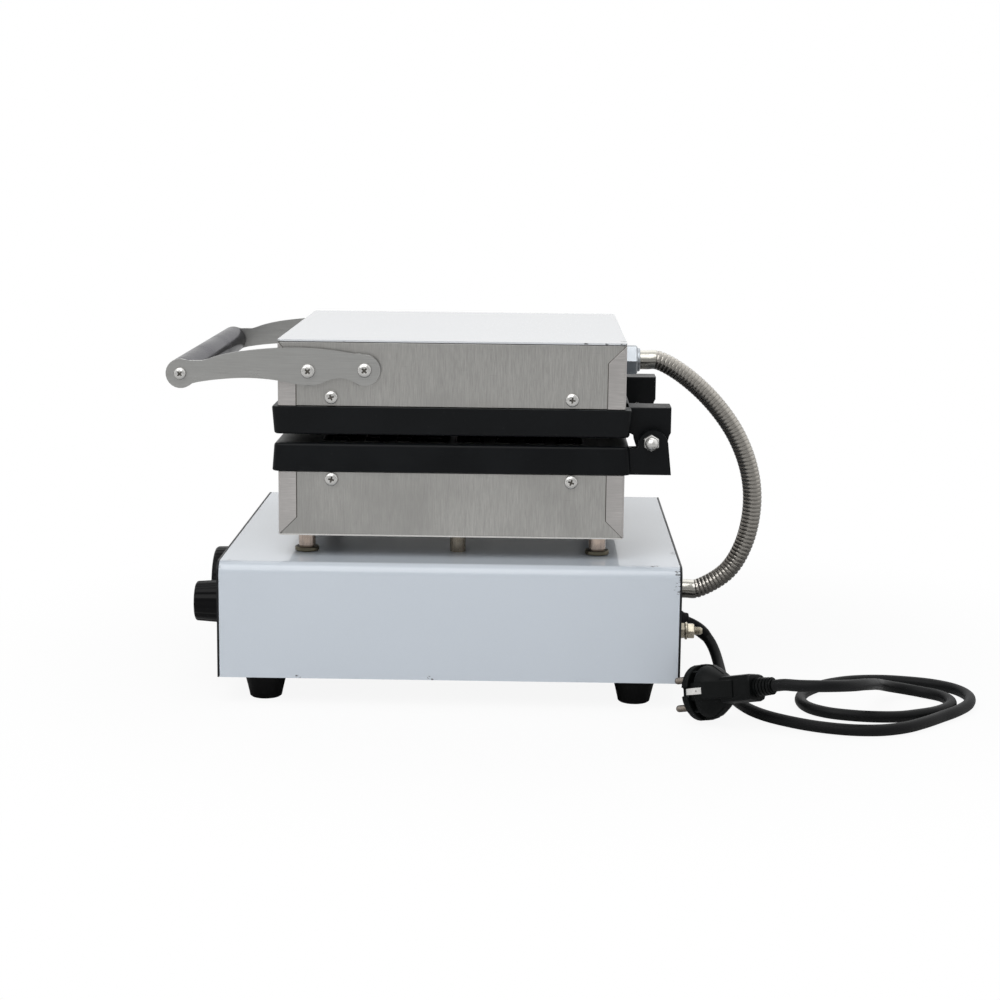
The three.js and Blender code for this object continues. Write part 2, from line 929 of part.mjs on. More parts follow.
// A pan-head screw that points into the head from one side.
function makeSideScrew(side, seat, headRadius, headHeight, length, y, z) {
  const profile = [
    [0, -length],
    [screwRadius, -length],
    [screwRadius, 0],
    [headRadius, 0],
    [headRadius, headHeight * 0.4],
    [headRadius * 0.8, headHeight * 0.8],
    [headRadius * 0.4, headHeight],
    [0, headHeight],
  ];
  return turned(profile, "x", [side * seat, y, z], smallSides, side);
}

// Handle

function armPoint([along, up]) {
  return new THREE.Vector2(armRearY - along * armLength, armScrewZ + up * armLength);
}

function makeArm(side) {
  const shape = new THREE.Shape();
  const rear = new THREE.Vector2(armRearY, armScrewZ);
  const front = new THREE.Vector2(gripY, gripZ);
  const start = armPoint(armTopShares[0]);
  const startAngle = Math.atan2(start.y - rear.y, start.x - rear.x);
  const lobeEnd = armPoint(armLobeShares[armLobeShares.length - 1]);
  const lobeAngle = Math.atan2(lobeEnd.y - rear.y, lobeEnd.x - rear.x);
  shape.absarc(rear.x, rear.y, armRearRadius, lobeAngle, startAngle);
  shape.splineThru(armTopShares.slice(1, -1).map(armPoint));
  const top = armPoint(armTopShares[armTopShares.length - 1]);
  const topAngle = Math.atan2(top.y - front.y, top.x - front.x);
  const low = armPoint(armBottomShares[0]);
  const lowAngle = Math.atan2(low.y - front.y, low.x - front.x);
  shape.absarc(front.x, front.y, gripRadius, topAngle, lowAngle + Math.PI * 2);
  shape.splineThru([...armBottomShares, ...armLobeShares].slice(1, -1).map(armPoint));
  const from = side > 0 ? armInner : -armOuter;
  const plate = slab(shape, "x", from, from + armSheet, armCurveSegments);
  const length = armSheet + 2 * cutOverrun;
  const hole = (y, z) => rod(screwRadius + boreGap, length, "x", [from - cutOverrun, y, z], smallSides);
  return cut(
    plate,
    hole(gripY, gripZ),
    hole(armRearY, armScrewZ),
    hole(armFrontScrewY, armFrontScrewZ),
  );
}

function makeGrip() {
  const half = armInner - seatGap;
  const body = rod(gripRadius, 2 * half, "x", [-half, gripY, gripZ], gripSides);
  const depth = gripScrewLength + cutOverrun;
  return cut(
    body,
    rod(screwRadius + boreGap, depth + cutOverrun, "x", [half - depth, gripY, gripZ], smallSides),
    rod(screwRadius + boreGap, depth + cutOverrun, "x", [-half - cutOverrun, gripY, gripZ], smallSides),
  );
}

// Knobs and the switches behind them

const knobBack = -baseDepth / 2 - knobGap;

// A straight pointer rib on a knob's face.
function pointerRib(x, face, radius) {
  return block(
    [x - pointerWidth / 2, face - pointerRise, knobZ + radius * 0.25],
    [x + pointerWidth / 2, face + cutOverrun, knobZ + radius * 0.8],
  );
}

// A blind bore in the back of a knob, for its shaft.
function knobBore(x, depth) {
  return rod(shaftRadius + boreGap, depth + cutOverrun, "y", [x, knobBack + cutOverrun, knobZ], smallSides, -1);
}

function makeDial() {
  const face = knobBack - dialHeight;
  const body = turned(
    [
      [0, 0],
      [dialRadius, 0],
      [dialRadius, dialHeight - dialChamfer],
      [dialRadius - dialChamfer, dialHeight],
      [0, dialHeight],
    ],
    "y",
    [dialX, knobBack, knobZ],
    dialSides,
    -1,
  );
  return cut(joined(body, pointerRib(dialX, face, dialRadius - dialChamfer)), knobBore(dialX, dialHeight / 2));
}

function makeTimerKnob() {
  const shape = new THREE.Shape();
  const steps = fluteCount * fluteSteps;
  for (let i = 0; i < steps; i++) {
    const angle = (i / steps) * Math.PI * 2;
    const dip = fluteDepth * Math.abs(Math.sin((i / fluteSteps) * Math.PI));
    const radius = timerRadius - dip;
    const x = timerX + radius * Math.cos(angle);
    const z = knobZ + radius * Math.sin(angle);
    if (i === 0) shape.moveTo(x, z);
    else shape.lineTo(x, z);
  }
  const face = knobBack - timerHeight;
  const fluted = slab(shape, "y", face, knobBack);
  const envelope = turned(
    [
      [0, -cutOverrun],
      [timerRadius + fluteDepth, -cutOverrun],
      [timerRadius + fluteDepth, 0],
      [timerRadius, 0],
      [timerRadius - timerTaper, timerHeight - timerChamfer],
      [timerRadius - timerTaper - timerChamfer, timerHeight],
      [0, timerHeight],
    ],
    "y",
    [timerX, knobBack, knobZ],
    dialSides,
    -1,
  );
  const body = joined(fluted.intersect(envelope), pointerRib(timerX, face, timerRadius - timerChamfer));
  return cut(body, knobBore(timerX, timerHeight / 2));
}

// The shaft reaches from a switch body through the panel into its knob.
function knobShaft(x, knobDepth) {
  const tip = knobBack - knobDepth / 2 + seatGap;
  const seat = -panelInside + seatGap;
  return rod(shaftRadius, seat - tip + cutOverrun, "y", [x, tip, knobZ], smallSides);
}

function makeThermostat() {
  const seat = -panelInside + seatGap;
  const body = rod(thermostatRadius, thermostatDepth, "y", [dialX, seat, knobZ]);
  const back = seat + thermostatDepth;
  const tipZ = lowerPlateBottom - bulbDrop - bulbRadius;
  const run = sleeveX - dialX;
  const route = new THREE.CatmullRomCurve3([
    new THREE.Vector3(dialX, back - cutOverrun, knobZ),
    new THREE.Vector3(dialX, back + run * 0.3, knobZ),
    new THREE.Vector3(dialX + run * 0.7, sleeveOffsetY - run * 0.5, knobZ),
    new THREE.Vector3(sleeveX, sleeveOffsetY, baseTop - run * 0.2),
    new THREE.Vector3(sleeveX, sleeveOffsetY, baseTop),
    new THREE.Vector3(sleeveX, sleeveOffsetY, lowerShellBottom + sleeveReach),
    new THREE.Vector3(sleeveX, sleeveOffsetY, (lowerShellBottom + tipZ) / 2),
    new THREE.Vector3(sleeveX, sleeveOffsetY + bulbRadius * 3, tipZ - bulbRadius),
    new THREE.Vector3(sleeveX, sleeveOffsetY + bulbRadius * 5, tipZ),
  ]);
  const pipe = solidOf(sweep(route, capillaryRadius, 6, capillarySteps));
  const bulb = rod(
    bulbRadius,
    bulbLength,
    "y",
    [sleeveX, sleeveOffsetY + bulbRadius * 5 - cutOverrun, tipZ],
    smallSides,
  );
  return joined(body, knobShaft(dialX, dialHeight), pipe, bulb);
}

function makeTimer() {
  const half = timerBodySide / 2;
  const seat = -panelInside + seatGap;
  const body = block(
    [timerX - half, seat, knobZ - half],
    [timerX + half, seat + timerBodyDepth, knobZ + half],
  );
  return joined(body, knobShaft(timerX, timerHeight));
}

function makeLamp(x) {
  const seat = seatGap;
  const behind = panelSheet + lampBodyDepth;
  return turned(
    [
      [0, -behind],
      [lampRadius, -behind],
      [lampRadius, seat],
      [lampFlangeRadius, seat],
      [lampFlangeRadius, seat + lampFlange],
      [lampRadius, seat + lampFlange],
      [lampRadius * 0.8, seat + lampFlange + lampRise * 0.7],
      [lampRadius * 0.4, seat + lampFlange + lampRise * 0.95],
      [0, seat + lampFlange + lampRise],
    ],
    "y",
    [x, -baseDepth / 2, knobZ],
    smallSides,
    -1,
  );
}

// Heating rods and insulation

// A rod bent to and fro under a plate.
function makeHeater(z) {
  const points = [];
  const spanX = recessWidth * heaterSpanShare;
  const halfRun = (recessDepth * heaterRunShare) / 2;
  const pitch = spanX / (heaterRuns - 1);
  for (let i = 0; i < heaterRuns; i++) {
    const x = -spanX / 2 + i * pitch;
    const way = i % 2 ? -1 : 1;
    points.push(new THREE.Vector3(x, -way * halfRun, z));
    points.push(new THREE.Vector3(x, way * halfRun, z));
    if (i < heaterRuns - 1) {
      points.push(new THREE.Vector3(x + pitch / 2, way * (halfRun + pitch * heaterBowShare), z));
    }
  }
  const route = new THREE.CatmullRomCurve3(points);
  return sweep(route, heaterRadius, heaterSides, heaterRuns * heaterStepsPerRun);
}

function makeInsulation(low) {
  const x = sideFace - insulationMargin;
  const y = headDepth / 2 - insulationMargin;
  return block([-x, -y, low], [x - insulationCableRoom, y, low + insulationHeight]);
}

// Hose between base and lid, with its two fittings

function makeHoseFitting(corner, height, seat, z) {
  const hex = hexBar(corner, height, "y", [hoseX, seat + seatGap, z], fittingTurn);
  const stub = rod(
    fittingStubRadius,
    fittingStubLength + cutOverrun,
    "y",
    [hoseX, seat + seatGap - fittingStubLength, z],
    roundSides,
  );
  const length = height + fittingStubLength + 4 * cutOverrun;
  const bore = rod(hoseBore, length, "y", [hoseX, seat - fittingStubLength - cutOverrun, z], smallSides);
  return cut(joined(hex, stub), bore);
}

const hoseHighY = headDepth / 2 + seatGap + upperHexHeight + seatGap;
const hoseLowY = baseDepth / 2 + seatGap + lowerHexHeight + seatGap;

function hoseRoute() {
  const straight = 2 * hoseRadius;
  const drop = hoseHighZ - hoseLowZ;
  const points = [
    new THREE.Vector3(hoseX, hoseHighY, hoseHighZ),
    new THREE.Vector3(hoseX, hoseHighY + straight / 2, hoseHighZ),
    new THREE.Vector3(hoseX, hoseHighY + straight, hoseHighZ),
    ...hoseBowShares.map(
      ([back, up]) => new THREE.Vector3(hoseX, hoseHighY + back * hoseReach, hoseLowZ + up * drop),
    ),
    new THREE.Vector3(hoseX, hoseLowY + straight, hoseLowZ),
    new THREE.Vector3(hoseX, hoseLowY + straight / 2, hoseLowZ),
    new THREE.Vector3(hoseX, hoseLowY, hoseLowZ),
  ];
  return new THREE.CatmullRomCurve3(points);
}

// A ribbed tube: stations hold a distance along the route and a radius, outside first and then the bore.
function makeHose() {
  const route = hoseRoute();
  const length = route.getLength();
  const straight = 2 * hoseRadius;
  const ribs = Math.round((length - 2 * straight) / hoseRibPitch);
  const pitch = (length - 2 * straight) / ribs;
  const outside = [[0, hoseRadius]];
  for (let i = 0; i < ribs; i++) {
    outside.push([straight + (i + 0.25) * pitch, hoseRoot]);
    outside.push([straight + (i + 0.75) * pitch, hoseRadius]);
  }
  outside.push([length, hoseRadius]);
  const inside = [[0, hoseBore]];
  for (let i = hoseBoreEvery; i < ribs; i += hoseBoreEvery) {
    inside.push([straight + i * pitch, hoseBore]);
  }
  inside.push([length, hoseBore]);
  const stations = [...outside, ...inside.reverse()];
  const across = new THREE.Vector3(1, 0, 0);
  const places = [];
  const centres = [];
  for (const [distance, radius] of stations) {
    const share = Math.min(1, distance / length);
    const centre = route.getPointAt(share);
    const up = new THREE.Vector3().crossVectors(route.getTangentAt(share), across).normalize();
    centres.push(centre);
    for (let k = 0; k < hoseSides; k++) {
      const angle = (k / hoseSides) * Math.PI * 2;
      const spot = centre
        .clone()
        .addScaledVector(across, radius * Math.cos(angle))
        .addScaledVector(up, radius * Math.sin(angle));
      places.push(spot.x, spot.y, spot.z);
    }
  }
  const index = [];
  for (let ring = 0; ring < stations.length; ring++) {
    const next = (ring + 1) % stations.length;
    for (let k = 0; k < hoseSides; k++) {
      const turn = (k + 1) % hoseSides;
      const a = ring * hoseSides + k;
      const b = ring * hoseSides + turn;
      const c = next * hoseSides + k;
      const d = next * hoseSides + turn;
      index.push(a, b, c, b, d, c);
    }
  }
  const outerCentres = centres.slice(0, outside.length);
  let least = Infinity;
  outerCentres.forEach((p, i) => {
    outerCentres.forEach((q, j) => {
      if (outside[j][0] - outside[i][0] > Math.PI * straight) {
        least = Math.min(least, p.distanceTo(q) - 2 * hoseRadius);
      }
    });
  });
  console.log(`hose: ${length.toFixed(1)} long, ${ribs} ribs, least gap to itself ${least.toFixed(1)}`);
  const geometry = new THREE.BufferGeometry();
  geometry.setAttribute("position", new THREE.Float32BufferAttribute(places, 3));
  geometry.setIndex(index);
  return geometry;
}

// Cable gland, bonding stud and terminal block

const cordExit = baseDepth / 2 + seatGap + glandHexHeight + seatGap;

function makeGland() {
  const seat = baseDepth / 2 + seatGap;
  const hex = hexBar(glandHexRadius, glandHexHeight, "y", [glandX, seat, glandZ]);
  const dome = glandHexHeight + glandDomeHeight;
  const round = turned(
    [
      [0, -glandStubLength],
      [glandStubRadius, -glandStubLength],
      [glandStubRadius, glandHexHeight],
      [glandDomeRadius, glandHexHeight],
      [glandDomeRadius, dome - glandDomeHeight / 3],
      [glandTailRadius, dome],
      [glandTailEnd, dome + glandTailLength],
      [0, dome + glandTailLength],
    ],
    "y",
    [glandX, seat, glandZ],
  );
  const depth = dome + glandTailLength - glandHexHeight;
  const mouth = rod(glandBore, depth + cutOverrun, "y", [glandX, seat + glandHexHeight, glandZ]);
  return cut(joined(hex, round), mouth);
}

function makeBondingStud() {
  const seat = baseDepth / 2 + seatGap;
  const stud = rod(studRadius, studLength + studInside, "y", [studX, seat - studInside, studZ], smallSides);
  const firstNut = seat + studWasherHeight;
  const washers = firstNut + studNutHeight;
  const secondNut = washers + 2 * studWasherHeight;
  return joined(
    stud,
    rod(studWasher, studWasherHeight + cutOverrun, "y", [studX, seat, studZ], smallSides),
    hexBar(studNut, studNutHeight, "y", [studX, firstNut, studZ], 20),
    rod(studWasher, studWasherHeight, "y", [studX, washers, studZ], smallSides),
    rod(studWasher * 0.9, studWasherHeight, "y", [studX, washers + studWasherHeight, studZ], smallSides),
    hexBar(studNut, studNutHeight, "y", [studX, secondNut, studZ], 8),
  );
}

function makeTerminalBlock() {
  const low = baseBottom + panelSheet + seatGap;
  const high = low + blockHeight;
  const body = block(
    [blockX - blockLength / 2, blockY - blockWidth / 2, low],
    [blockX + blockLength / 2, blockY + blockWidth / 2, high],
  );
  const posts = [];
  for (let i = 0; i < blockPosts; i++) {
    const x = blockX + (i - (blockPosts - 1) / 2) * (blockLength / blockPosts);
    posts.push(
      rod(blockPostRadius, blockPostHeight + cutOverrun, "z", [x, blockY, high - cutOverrun], smallSides),
    );
  }
  return joined(body, ...posts);
}

// Mains lead and plug

const plugAway = new THREE.Vector3(
  Math.sin(THREE.MathUtils.degToRad(plugTurn)) * Math.cos(THREE.MathUtils.degToRad(plugTilt)),
  Math.cos(THREE.MathUtils.degToRad(plugTurn)) * Math.cos(THREE.MathUtils.degToRad(plugTilt)),
  Math.sin(THREE.MathUtils.degToRad(plugTilt)),
);
const plugFaceZ = plugRadius * Math.cos(THREE.MathUtils.degToRad(plugTilt)) + plugClearance;
const plugFace = new THREE.Vector3(plugX, plugY, plugFaceZ);

function cordRoute() {
  const plugEnd = plugFace.clone().addScaledVector(plugAway, plugLength + seatGap);
  const free = [
    [40.3, 175.6, 34.8],
    [41.2, 181.4, 31.9],
    [43.2, 186.4, 27.6],
    [46.8, 190, 22.8],
    [52.2, 192.4, 17.8],
    [59.6, 194, 12.8],
    [69, 195, 8.6],
    [81, 195.6, 5.6],
    [95, 196.2, cordRest],
    [112, 197.4, cordRest],
    [129, 199.2, cordRest],
    [146, 202.6, cordRest],
    [162, 208.4, cordRest],
    [176, 217.4, cordRest],
    [188, 229.8, cordRest],
    [198, 244, cordRest],
    [205, 260, cordRest],
    [208, 276, cordRest],
    [206.5, 292, cordRest],
    [199, 308, cordRest],
    [186, 323, cordRest],
    [171, 337, cordRest],
    [155, 351, cordRest],
    [137, 362, cordRest],
    [117, 366, cordRest],
    [98, 360.5, cordRest],
    [85, 347, cordRest],
    [78, 329, cordRest],
    [75, 310, cordRest],
    [78, 290, cordRest],
    [87, 273, cordRest],
    [100, 259.5, cordRest],
    [117, 249.5, cordRest],
    [136, 245.5, cordRest],
    [153, 249, cordRest],
    [165, 260, cordRest],
    [171.5, 276, cordRest],
    [174, 293, cordRest],
    [172.6, 309, cordRest],
    [167.4, 321, cordRest],
    [160.6, 333, cordRest],
    [151.4, 342.5, cordRest],
    [140.8, 348.8, cordRest],
    [128.8, 350.4, cordRest],
    [117, 346.2, cordRest],
    [108.4, 336.8, 4.4],
    [105.2, 324.6, 5.8],
    [108.4, 312.8, 8.4],
    [117.4, 304.2, 12],
    [130, 299.2, 15.6],
    [144, 295.6, 19.4],
    [158, 292.2, 23],
    [172, 288.4, 26.6],
    [185.6, 283.8, 30],
    [198, 278, 33],
    [208.6, 271.4, 35.2],
    [216.8, 263.4, 36.9],
    [222.4, 253.6, 38],
    [224.6, 242.8, 38.4],
    [222.2, 231.9, 37.9],
  ];
  return new THREE.CatmullRomCurve3([
    new THREE.Vector3(glandX, cordExit, glandZ),
    new THREE.Vector3(glandX, cordExit + cordRadius, glandZ),
    ...free.map((point) => new THREE.Vector3(...point)),
    plugEnd.clone().addScaledVector(plugAway, 2 * cordRadius),
    plugEnd.clone().addScaledVector(plugAway, cordRadius),
    plugEnd,
  ]);
}

function makeMainsLead() {
  const route = cordRoute();
  route.arcLengthDivisions = cordDivisions;
  const length = route.getLength();
  const steps = Math.round(length / (cordStepDiameters * 2 * cordRadius));
  console.log(`mains lead: ${length.toFixed(0)} long, ${steps} steps`);
  return sweep(route, cordRadius, cordSides, steps);
}

function makePlug() {
  const profile = [
    [0, 0],
    [plugRadius, 0],
    [plugRadius, plugRim],
    [plugWaistRadius, plugWaistAt],
    [plugNeckRadius, plugWaistAt],
    [plugNeckRadius, plugNeckEnd],
    [plugReliefStart, plugNeckEnd],
    [plugReliefEnd, plugLength],
    [0, plugLength],
  ];
  const body = turned(profile, "y", [0, 0, 0], plugSides);
  const pins = [-1, 1].map((end) =>
    rod(pinRadius, pinLength + cutOverrun, "y", [0, -pinLength, (end * pinSpacing) / 2], smallSides),
  );
  const notches = [-1, 1].map((side) => {
    const inner = side * (plugRadius - plugNotchDepth);
    const outer = side * (plugRadius + cutOverrun);
    return block(
      [Math.min(inner, outer), -cutOverrun, -plugNotchWidth / 2],
      [Math.max(inner, outer), plugNotchLength, plugNotchWidth / 2],
    );
  });
  const geometry = geometryOf(cut(joined(body, ...pins), ...notches));
  geometry.rotateY(THREE.MathUtils.degToRad(plugRoll));
  geometry.rotateX(THREE.MathUtils.degToRad(plugTilt));
  geometry.rotateZ(THREE.MathUtils.degToRad(-plugTurn));
  geometry.translate(plugFace.x, plugFace.y, plugFace.z);
  return geometry;
}

// Assembly: each piece is one named mesh, and its colour comes from one of these materials.
const paints = {
  paint: new THREE.MeshStandardMaterial({ color: 0xced2d5, roughness: 0.3, metalness: 0 }),
  steel: new THREE.MeshStandardMaterial({ color: 0x9a9894, roughness: 0.35, metalness: 0.9 }),
  bright: new THREE.MeshStandardMaterial({ color: 0xc2c1bd, roughness: 0.2, metalness: 1 }),
  zinc: new THREE.MeshStandardMaterial({ color: 0xa79c86, roughness: 0.4, metalness: 0.9 }),
  casting: new THREE.MeshStandardMaterial({ color: 0x1f2123, roughness: 0.55, metalness: 0.2 }),
  black: new THREE.MeshStandardMaterial({ color: 0x141416, roughness: 0.45, metalness: 0 }),
  rubber: new THREE.MeshStandardMaterial({ color: 0x1b1b1b, roughness: 0.85, metalness: 0 }),
  wool: new THREE.MeshStandardMaterial({ color: 0xd8cfb8, roughness: 0.95, metalness: 0 }),
  ceramic: new THREE.MeshStandardMaterial({ color: 0xe6e2d8, roughness: 0.4, metalness: 0 }),
  amber: new THREE.MeshStandardMaterial({ color: 0xd98a2b, roughness: 0.2, metalness: 0 }),
};

const group = new THREE.Group();

function put(name, paint, made) {
  const geometry = made.isBufferGeometry ? made : geometryOf(made);
  const mesh = new THREE.Mesh(geometry, paints[paint]);
  mesh.name = name;
  group.add(mesh);
}

put("base_cover", "paint", makeBaseCover());
put("front_panel", "casting", makeFrontPanel());
put("back_panel", "casting", makeBackPanel());
put("bottom_plate", "steel", makeBottomPlate());
for (const [place, sx, sy] of corners) {
  put(`foot_${place}`, "rubber", makeFoot(sx, sy));
  put(`foot_screw_${place}`, "bright", makeFootScrew(sx, sy));
  put(`standoff_${place}`, "zinc", makeStandoff(sx, sy));
}
put("wiring_sleeve", "black", makeSleeve());

put("lower_shell", "steel", makeLowerShell());
put("upper_shell", "steel", makeUpperShell());
put("top_cover", "paint", makeTopCover());
put("lower_plate", "casting", makeLowerPlate());
put("upper_plate", "casting", makeUpperPlate());

const lowerHeaterZ = lowerPlateBottom - seatGap - heaterRadius;
const upperHeaterZ = upperPlateTop + seatGap + heaterRadius;
put("lower_heater", "bright", makeHeater(lowerHeaterZ));
put("upper_heater", "bright", makeHeater(upperHeaterZ));
put("lower_insulation", "wool", makeInsulation(lowerHeaterZ - heaterRadius - seatGap - insulationHeight));
put("upper_insulation", "wool", makeInsulation(upperHeaterZ + heaterRadius + seatGap));

const shellFace = sideFace + seatGap;
const armFace = armOuter + seatGap;
for (const [side, sideName] of [[1, "right"], [-1, "left"]]) {
  for (const [end, endName] of [[-1, "front"], [1, "rear"]]) {
    const y = end * shellScrewY;
    const screw = (z) => makeSideScrew(side, shellFace, screwHeadRadius, screwHeadHeight, screwLength, y, z);
    put(`lower_shell_screw_${endName}_${sideName}`, "bright", screw(lowerScrewZ));
    put(`upper_shell_screw_${endName}_${sideName}`, "bright", screw(upperScrewZ));
  }
  put(`handle_arm_${sideName}`, "bright", makeArm(side));
  const armScrew = (y, z) =>
    makeSideScrew(side, armFace, armScrewHead, screwHeadHeight, armScrewLength, y, z);
  put(`arm_screw_rear_${sideName}`, "bright", armScrew(armRearY, armScrewZ));
  put(`arm_screw_front_${sideName}`, "bright", armScrew(armFrontScrewY, armFrontScrewZ));
  put(
    `grip_screw_${sideName}`,
    "bright",
    makeSideScrew(side, armFace, gripScrewHead, screwHeadHeight, gripScrewLength, gripY, gripZ),
  );
  put(`hinge_nut_${sideName}`, "bright", makeDomedNut(side));
}
put("handle_grip", "bright", makeGrip());
put("hinge_rod", "bright", makeHingeRod());

put("hose_fitting_upper", "bright", makeHoseFitting(upperHex, upperHexHeight, headDepth / 2, hoseHighZ));
put("hose_fitting_lower", "bright", makeHoseFitting(lowerHex, lowerHexHeight, baseDepth / 2, hoseLowZ));
put("hose", "steel", makeHose());

put("thermostat_dial", "black", makeDial());
put("timer_knob", "black", makeTimerKnob());
put("thermostat", "bright", makeThermostat());
put("timer", "casting", makeTimer());
put("heating_lamp", "amber", makeLamp(lampFirstX));
put("power_lamp", "amber", makeLamp(lampFirstX - lampPitch));
put("terminal_block", "ceramic", makeTerminalBlock());
put("mains_gland", "black", makeGland());
put("bonding_stud", "zinc", makeBondingStud());

// The frame stands at the middle of the body on the floor, measured without the lead and its plug.
const body = new THREE.Box3().setFromObject(group);
put("mains_lead", "black", makeMainsLead());
put("plug", "black", makePlug());
group.position.set(-(body.min.x + body.max.x) / 2, -(body.min.y + body.max.y) / 2, -body.min.z);
console.log("shift:", group.position.toArray().map((value) => value.toFixed(3)).join(" "));

export default group;
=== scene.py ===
# %% [markdown]
# # A square waffle baker, dressed
# The solid model of the machine is the frame: it says where every piece is and which pieces move.
# This file puts a finished skin round it, piece by piece, in the frame's own place and size.
# Sizes are in millimetres from the middle of the base, as a maker would measure them, and one
# helper turns them into Blender's metres.

# %% The frame
import math

import bmesh
import bpy
from mathutils import Matrix, Vector


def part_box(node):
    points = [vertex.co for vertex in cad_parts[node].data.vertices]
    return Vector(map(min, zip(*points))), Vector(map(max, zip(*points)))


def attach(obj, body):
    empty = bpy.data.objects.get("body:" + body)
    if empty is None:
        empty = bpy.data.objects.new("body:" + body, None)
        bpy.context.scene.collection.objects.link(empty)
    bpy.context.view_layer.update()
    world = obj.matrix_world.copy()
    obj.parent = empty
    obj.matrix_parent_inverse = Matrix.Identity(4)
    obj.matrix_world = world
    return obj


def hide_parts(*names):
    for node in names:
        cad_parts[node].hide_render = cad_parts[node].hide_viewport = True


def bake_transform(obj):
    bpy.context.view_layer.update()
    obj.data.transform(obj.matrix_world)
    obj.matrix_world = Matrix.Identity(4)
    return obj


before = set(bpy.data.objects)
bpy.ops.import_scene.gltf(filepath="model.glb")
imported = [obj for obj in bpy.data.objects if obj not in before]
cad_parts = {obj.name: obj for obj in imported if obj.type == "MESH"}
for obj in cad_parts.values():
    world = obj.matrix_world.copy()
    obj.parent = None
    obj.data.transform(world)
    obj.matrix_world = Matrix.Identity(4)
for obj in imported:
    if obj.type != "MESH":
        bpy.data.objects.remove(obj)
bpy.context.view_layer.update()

MM = 0.001
base_low, base_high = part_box("base_cover")
BACKSET = (base_low.y + base_high.y) / 2 / MM
TO_FRAME = Matrix.Scale(MM, 4) @ Matrix.Translation((0, BACKSET, 0))


def at(x, y, z):
    """A place in the frame, in metres."""
    return TO_FRAME @ Vector((x, y, z))


print("nodes:", len(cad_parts), "backset:", round(BACKSET, 3), "mm")

# %% [markdown]
# ## The camera
# The picture was taken from the machine's right side, a little above the lid, with a long lens.
# The place and angles were found by fitting the corners of the base, the shells and the feet. A
# camera looks along its own -Z, so its matrix is built from the ways right, up and back.

# %% Camera
FOCAL, PICTURE, SENSOR = 2084.47, 1000, 36
CAMERA_PLACE = (1549.01, 56.65, 385.66)
YAW, PITCH, ROLL = 0.0159, 0.1696, 0.0110


def camera_matrix():
    """Where the camera stands and looks, from the fitted place and angles."""
    ahead = Vector((-math.cos(YAW), -math.sin(YAW), 0))
    right = Vector((-math.sin(YAW), math.cos(YAW), 0))
    up = Vector((0, 0, 1))
    gaze = ahead * math.cos(PITCH) - up * math.sin(PITCH)
    above = up * math.cos(PITCH) + ahead * math.sin(PITCH)
    side = right * math.cos(ROLL) + above * math.sin(ROLL)
    top = above * math.cos(ROLL) - right * math.sin(ROLL)
    turned = Matrix((side, top, -gaze)).transposed().to_4x4()
    return Matrix.Translation(at(*CAMERA_PLACE)) @ turned


lens = bpy.data.cameras.new("studio_camera")
lens.lens, lens.sensor_width = FOCAL * SENSOR / PICTURE, SENSOR
camera = bpy.data.objects.new("studio_camera", lens)
camera.matrix_world = camera_matrix()
bpy.context.scene.collection.objects.link(camera)
bpy.context.scene.camera = camera
bpy.context.scene.view_settings.view_transform = "Standard"
print("camera at", [round(v, 3) for v in camera.location])

# %% [markdown]
# ## The way of the mains lead
# The lead leaves the gland on the back, drops to the table, makes one loop and most of a second
# one, and climbs to the plug, which stands on the edge of its face. The points are the ones that
# the solid model uses, so that both lie in the same place. A smooth line through them is worked
# out here and not left to a curve object, because the same line also gives the lead's length.

# %% Points of the lead and the plug
LEAD_RADIUS = 4
REST = LEAD_RADIUS + 0.35
LEAD_EXIT = Vector((40, 166.2, 36.5))
PLUG_TURN, PLUG_TILT, PLUG_ROLL = (math.radians(v) for v in (41, 15, -12))
PLUG_RADIUS, PLUG_LENGTH = 19, 63.3
PLUG_FACE = Vector((171.8, 171.2, PLUG_RADIUS * math.cos(PLUG_TILT) + 0.2))
PLUG_AWAY = Vector(
    (
        math.sin(PLUG_TURN) * math.cos(PLUG_TILT),
        math.cos(PLUG_TURN) * math.cos(PLUG_TILT),
        math.sin(PLUG_TILT),
    )
)
LEAD_FALL = """40.3 175.6 34.8, 41.2 181.4 31.9, 43.2 186.4 27.6, 46.8 190 22.8, 52.2 192.4 17.8,
 59.6 194 12.8, 69 195 8.6, 81 195.6 5.6"""
LEAD_ON_TABLE = """95 196.2, 112 197.4, 129 199.2, 146 202.6, 162 208.4, 176 217.4, 188 229.8,
 198 244, 205 260, 208 276, 206.5 292, 199 308, 186 323, 171 337, 155 351, 137 362, 117 366,
 98 360.5, 85 347, 78 329, 75 310, 78 290, 87 273, 100 259.5, 117 249.5, 136 245.5, 153 249,
 165 260, 171.5 276, 174 293, 172.6 309, 167.4 321, 160.6 333, 151.4 342.5, 140.8 348.8,
 128.8 350.4, 117 346.2"""
LEAD_CLIMB = """108.4 336.8 4.4, 105.2 324.6 5.8, 108.4 312.8 8.4, 117.4 304.2 12, 130 299.2 15.6,
 144 295.6 19.4, 158 292.2 23, 172 288.4 26.6, 185.6 283.8 30, 198 278 33, 208.6 271.4 35.2,
 216.8 263.4 36.9, 222.4 253.6 38, 224.6 242.8 38.4, 222.2 231.9 37.9"""


def places(text, height=None):
    """Points from a list in words; a point with two numbers gets the given height."""
    rows = [[float(word) for word in row.split()] for row in text.split(",")]
    return [Vector(row if height is None else [*row, height]) for row in rows]


